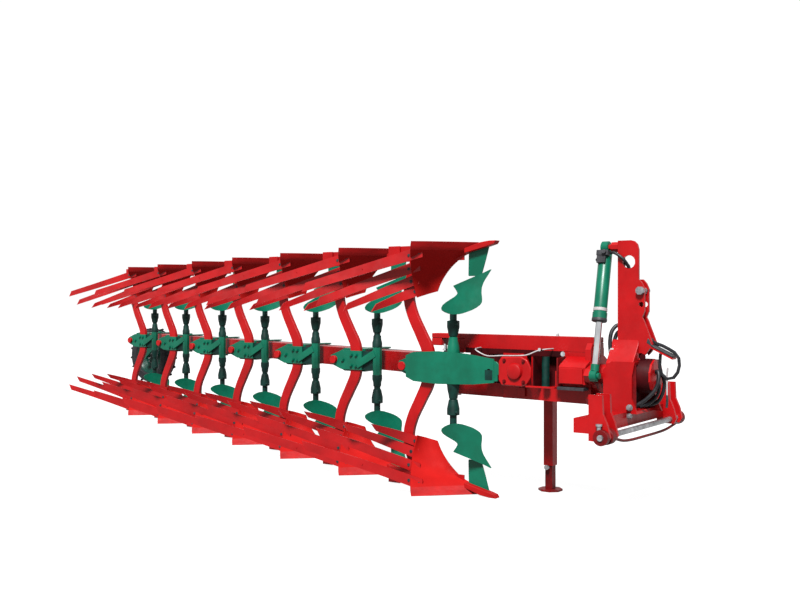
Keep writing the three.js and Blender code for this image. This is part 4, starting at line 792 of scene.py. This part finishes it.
def make_wheel_nuts():
    nuts = bmesh.new()
    for k in range(NUTS):
        turn = 2 * math.pi * k / NUTS
        bolt("y", NUT_CIRCLE * math.cos(turn), NUT_CIRCLE * math.sin(turn), 12, -14, -22, nuts)
    lathe("y", 0, 0, [(1, -84), (30, -84), (40, -78), (40, -58), (1, -58)], nuts, 32)
    emit("wheel_nuts", nuts, "steel", "wheel", WHEEL_CENTRE)


# Front frame: end casting, rail, recess, cover and pipe

FRAME = "front_frame"
FRAME_START = Vector((-40, 0, 0))  # its middle line runs from here to the beam's main pivot
TUBE_HALF = 104.5  # half the height of the frame's box section
UPPER_BAR_TOP = 205.4
RAIL_TOP = 243
# Top of the strip of painted shade along the frame's near face
SHADE_STRIP_TOP = 143
RECESS_REAR, RECESS_FRONT = -474, -290


def along_frame(from_x, to_x, right, left):
    """Outline, seen from above, of a strip between two distances from the frame's middle line."""
    ahead = (MAIN - FRAME_START).normalized()
    leftward = Vector((ahead.y, -ahead.x, 0))
    near, far = (FRAME_START + ahead * ((x - FRAME_START.x) / ahead.x) for x in (from_x, to_x))
    sides = ((near, -right), (far, -right), (far, left), (near, left))
    return [(at.x + leftward.x * away, at.y + leftward.y * away) for at, away in sides]


def make_end_casting():
    casting = prism("y", [
        (-738, 66), (-716, 100), (-560, 104), (-512, 82), (-484, 30), (-484, -40), (-515, -86),
        (-560, -103), (-716, -100), (-738, -66),
    ], -150, -126.5)
    emit("frame_casting", casting, "red", FRAME, bevel=10)
    boss = lathe("y", -606, 0, [(1, -176), (40, -176), (52, -170), (60, -150.5), (1, -150.5)], sides=40)
    emit("casting_boss", boss, "red", FRAME)
    studs = bmesh.new()
    for x, z in ((-690, 72), (-690, -72), (-540, 72), (-540, -72)):
        bolt("y", x, z, 11, -150 - GAP, -10, studs)
    # The studs take the darker red of painted shade
    emit("casting_studs", studs, "red_deep_shade", FRAME)


def make_frame_faces():
    # Painted shade: a near-black plate on the frame's far side
    emit("frame_back_shade", box(-1090, -285, 52, 62, -TUBE_HALF, TUBE_HALF), "red_dark_shade", FRAME)
    rail = prism("z", along_frame(-44, -1470, 50, 50), UPPER_BAR_TOP, RAIL_TOP)
    prism("z", along_frame(-1372, -1470, 50, 50), 150, UPPER_BAR_TOP, rail)
    emit("frame_rail", rail, "red", FRAME, bevel=6)
    face = prism("z", along_frame(-44, -1140, 51.4, -50.2), SHADE_STRIP_TOP, RAIL_TOP)
    emit("frame_face", face, "red", FRAME)
    # Painted shade: a near-black strip along the lower part of the frame's near face, under its bright face
    lip = prism("z", along_frame(RECESS_FRONT, -1140, 51.6, -50.3), 104, SHADE_STRIP_TOP)
    emit("frame_shade_strip", lip, "red_dark_shade", FRAME)


def make_recess():
    # Painted shade: the recess's walls take the near-black and darker reds, and its post the darker green
    left = box(RECESS_REAR - 9, RECESS_REAR, -120, 51.5, -TUBE_HALF, TUBE_HALF)
    emit("recess_left", left, "red_dark_shade", FRAME)
    right = box(RECESS_FRONT, RECESS_FRONT + 12, -150, 51.5, -TUBE_HALF, TUBE_HALF)
    emit("recess_right", right, "red_deep_shade", FRAME, bevel=2)
    emit("recess_post", disc("z", -415, -60, 27, -TUBE_HALF, TUBE_HALF), "green_painted_shade", FRAME)
    emit("recess_plate", box(-520, -300, -160, -121, -104, -94), "red", FRAME, bevel=2)


def make_cover():
    cover = prism("x", [(-184, -66), (-184, 50), (-168, 62), (-60, 112), (50, 112), (50, -66)], -258, -66)
    emit("frame_cover", cover, "red", FRAME, bevel=4)
    emit("cover_plate", box(-248, -80, -196, -184.5, -60, 42), "red", FRAME, bevel=3)
    # Painted shade: a dark plate under the cover
    emit("cover_shade_tray", box(-262, -70, -200, -120, -104, -84), "dark", FRAME, bevel=2)


def make_frame_pipe():
    pipe = tube(places(
        (-992, 40, 148), (-968, -60, 146), (-926, -140, 138), (-880, -141, 115), (-828, -141, 100),
        (-720, -141, 105), (-612, -141, 108), (-518, -141, 116), (-440, -140, 146), (-400, -100, 156),
        (-380, 0, 158),
    ), 4.5, 60, 12)
    emit("frame_pipe", pipe, "white", FRAME)
    fittings = bmesh.new()
    bolt("y", -290, 126, 13, -52, -12, fittings)
    disc("z", -372, 36, 24, 205.5, 214, fittings, 24)
    disc("z", -372, 36, 11, 214, 262, fittings, 20)
    lathe("y", -420, 156, [(1, -146), (11, -146), (11, -100), (1, -100)], fittings, 16)
    emit("frame_fittings", fittings, "chrome", FRAME)


# Console of the first station, in the frame of its pivot pin

CONSOLE = "station_1"
CONSOLE_FACE = -316.6  # the console plate's right face


def make_console():
    # Painted shade: a thin dark green sheet on the console's face where the notch lies in shade
    notch = box(517, 579, CONSOLE_FACE - 0.8, CONSOLE_FACE, -71, 0)
    emit("console_notch_shade", notch, "green_painted_shade", CONSOLE, PIVOTS[0])
    tip = [(590, -80), (619, -76), (619, -34), (628, -30), (628, 42), (612, 60), (590, 64)]
    plate = prism("y", tip, CONSOLE_FACE + GAP, CONSOLE_FACE + 11.5)
    emit("console_tip", plate, "green", CONSOLE, PIVOTS[0], bevel=3)
    pin = disc("z", 132, -237, 12, 114, 172, None, 24)
    disc("z", 132, -237, 20, 126, 136, pin, 24)
    emit("console_pin", pin, "chrome", CONSOLE, PIVOTS[0])
    profile = [(26.5, 108), (48, 108), (47, 122), (43, 160), (35, 196), (31, 224), (26.5, 226)]
    neck = lathe("z", *STEM, profile, sides=36)
    # Lit and shaded copies of one neck: the lower one takes the darker green of painted shade
    emit("console_neck_lower", neck, "green_painted_shade", CONSOLE, PIVOTS[0], True)
    emit("console_neck_upper", neck, "green", CONSOLE, PIVOTS[0])


# Headstock: mast's foot, turnover housing and the box behind its cheeks

HEADSTOCK = "headstock"
HOUSING_RADIUS = 105.4
BOX_HALF = 131.5
BOX_FLOOR = -216.5
# Thickness of the sheets of painted shade inside the box
BOX_SHADE_LINING = 3.5
CROSS_SHAFT = (253, -330)  # in travel and height
UNION_X = 338


def make_housing():
    shoulder = prism("x", [(-46.4, 236), (-56, 200), (-149.6, 84), (-149.6, 60), (-46.4, 60)], 62, 246)
    emit("mast_shoulder", shoulder, "red", HEADSTOCK, bevel=5)
    # Painted shade: a near-black sleeve and front ring over the turnover housing
    ring = lathe("x", 0, 0, [
        (HOUSING_RADIUS, 232), (110, 232), (110, 328), (HOUSING_RADIUS, 330.5), (66, 330.5), (66, 334),
        (111, 334), (113, 330), (113, 228), (HOUSING_RADIUS, 228),
    ], closed=True, sides=64)
    emit("housing_shade_ring", ring, "red_dark_shade", HEADSTOCK)
    profile = [(1, 345), (34, 345), (40, 340), (40, 332), (56, 332), (60, 330.8), (1, 330.8)]
    union = lathe("x", 0, 0, profile, sides=40)
    emit("swivel_union", union, "dark", HEADSTOCK)


def make_box_shade_lining():
    inner = BOX_HALF - BOX_SHADE_LINING
    # Painted shade: near-black and darker red sheets line the box's back and sides
    emit("box_back", box(200, 206, -BOX_HALF, BOX_HALF, BOX_FLOOR, -112), "red_dark_shade", HEADSTOCK)
    emit("box_side_left", box(206, 285, inner, BOX_HALF, BOX_FLOOR, 76), "red_deep_shade", HEADSTOCK)
    emit("box_side_right", box(206, 262, -BOX_HALF, -inner, BOX_FLOOR, 76), "red_deep_shade", HEADSTOCK)


# Hoses and lines of the headstock

def make_union_hoses():
    hoses = tube(places(
        (UNION_X, 20, 20), (372, 22, 10), (388, 26, -40), (372, 40, -110), (330, 60, -170), (262, 70, -196),
    ), 12)
    tube(places(
        (UNION_X, -16, 26), (366, -30, 34), (378, -46, -10), (360, -60, -80), (300, -80, -150),
        (240, -90, -190),
    ), 12, bm=hoses)
    tube(places(
        (UNION_X, 0, -24), (362, 2, -60), (350, 6, -120), (290, 10, -180), (236, 10, -205),
    ), 11, 36, bm=hoses)
    emit("union_hoses", hoses, "hose", HEADSTOCK)


def make_hose_guard():
    guard = prism("y", [
        (296, 216), (304, 246), (316, 240), (330, 206), (352, 192), (468, 137), (466, 126.5), (330, 192),
    ], -47, 29)
    emit("hose_guard", guard, "dark", HEADSTOCK, bevel=3)


def make_hose_tail():
    end = (420, -12, -116)
    tail = tube(places((424, -12, 60), (420, -12, 0), end), 6, 16, 12)
    emit("hose_tail", tail, "white", HEADSTOCK)
    drop = tube(places(end, (421, -12, -150), (416, -10, -196)), 8, 12, 12)
    emit("hose_tail_end", drop, "dark", HEADSTOCK)


def make_mast_hoses():
    loops = tube(places(
        (108, -10, 330), (84, -30, 322), (62, -52, 284), (56, -66, 220), (62, -70, 150), (70, -72, 97),
    ), 13)
    tube(places(
        (108, 14, 290), (78, 6, 276), (60, -10, 210), (58, -20, 150), (66, -24, 97),
    ), 13, 36, bm=loops)
    emit("mast_hoses", loops, "hose", HEADSTOCK)
    strap = prism("x", [(-96, 96), (-86, 150), (-80, 178), (-72, 176), (-76, 96)], 58, 86)
    emit("mast_strap", strap, "white", HEADSTOCK, bevel=2)


def make_port_hose():
    hose = tube(places(
        (52, -50, 800), (80, -64, 802), (118, -66, 782), (150, -58, 752), (164, -30, 716), (164, -4, 660),
        (162, 0, 560),
    ), 10, 48)
    emit("port_hose", hose, "hose", HEADSTOCK)


# Cheeks and cross shaft of the headstock

def make_lower_bar():
    x = CROSS_SHAFT[0]
    bar = tube(places((x, -468, -352), (x, -300, -386), (x, 60, -396), (x, 420, -392), (x, 590, -372)), 9)
    # The bar takes the darker red of painted shade
    emit("lower_bar", bar, "red_deep_shade", HEADSTOCK)


def make_cheek_parts():
    studs = bmesh.new()
    bolt("y", 226, -196, 17, -150 - GAP, -22, studs)
    bolt("y", 226, -250, 15, -150 - GAP, -16, studs)
    emit("side_studs", studs, "steel", HEADSTOCK)
    # Painted shade: a thin near-black disc on the cheek where its recess lies in shade
    emit("cheek_recess_shade", disc("y", 272, 124, 20, -47.2, -46.2), "red_dark_shade", HEADSTOCK)


def make_cross_shaft_parts():
    # The caps and the roller take the darker red of painted shade
    for side, way in (("right", -1), ("left", 1)):
        profile = [(18.6, way * 663), (48, way * 663), (48, way * 626), (18.6, way * 626)]
        cap = lathe("y", *CROSS_SHAFT, profile, closed=True, sides=40)
        emit(f"shaft_cap_{side}", cap, "red_deep_shade", HEADSTOCK, bevel=2)
    profile = [(19, -588), (44, -588), (50, -582), (50, -530), (44, -524), (19, -524)]
    roller = lathe("y", *CROSS_SHAFT, profile, closed=True, sides=40)
    emit("link_roller", roller, "red_deep_shade", HEADSTOCK)
    lock = disc("z", 236, -640, 13, -365, -262, None, 24)
    disc("z", 236, -640, 20, -262, -250, lock, 24)
    emit("link_lock_pin", lock, "steel", HEADSTOCK)


# Material and bevel of the CAD nodes that keep their shape
DRESSED = {
    "headstock": ("red", 4), "front_frame": ("red", 4), "main_beam": ("red", 6),
    # The stand's leg takes the darker red of painted shade
    "stand_leg": ("red_deep_shade", 2), "wheel_arm": ("green", 4), "steering_link": ("red", 3),
    "steering_rod": ("steel", 1), "width_barrel": ("green", 2), "width_rod": ("chrome", 1),
    "cross_shaft": ("steel", 2), "top_link_pin": ("steel", 1), "stand_pin": ("steel", 1),
    "main_pivot_pin": ("steel", 3), "supply_hose": ("hose", 0),
}

make_camera()
make_floor()
make_light()
make_bodies()
make_stations()
make_barrel()
make_rod()
make_port_block()
make_tyre()
make_wheel_disc()
make_wheel_nuts()
make_end_casting()
make_frame_faces()
make_recess()
make_cover()
make_frame_pipe()
make_console()
make_housing()
make_box_shade_lining()
make_union_hoses()
make_hose_guard()
make_hose_tail()
make_mast_hoses()
make_port_hose()
make_lower_bar()
make_cheek_parts()
make_cross_shaft_parts()
for node, (material, bevel) in DRESSED.items():
    dress(node, material, bevel)
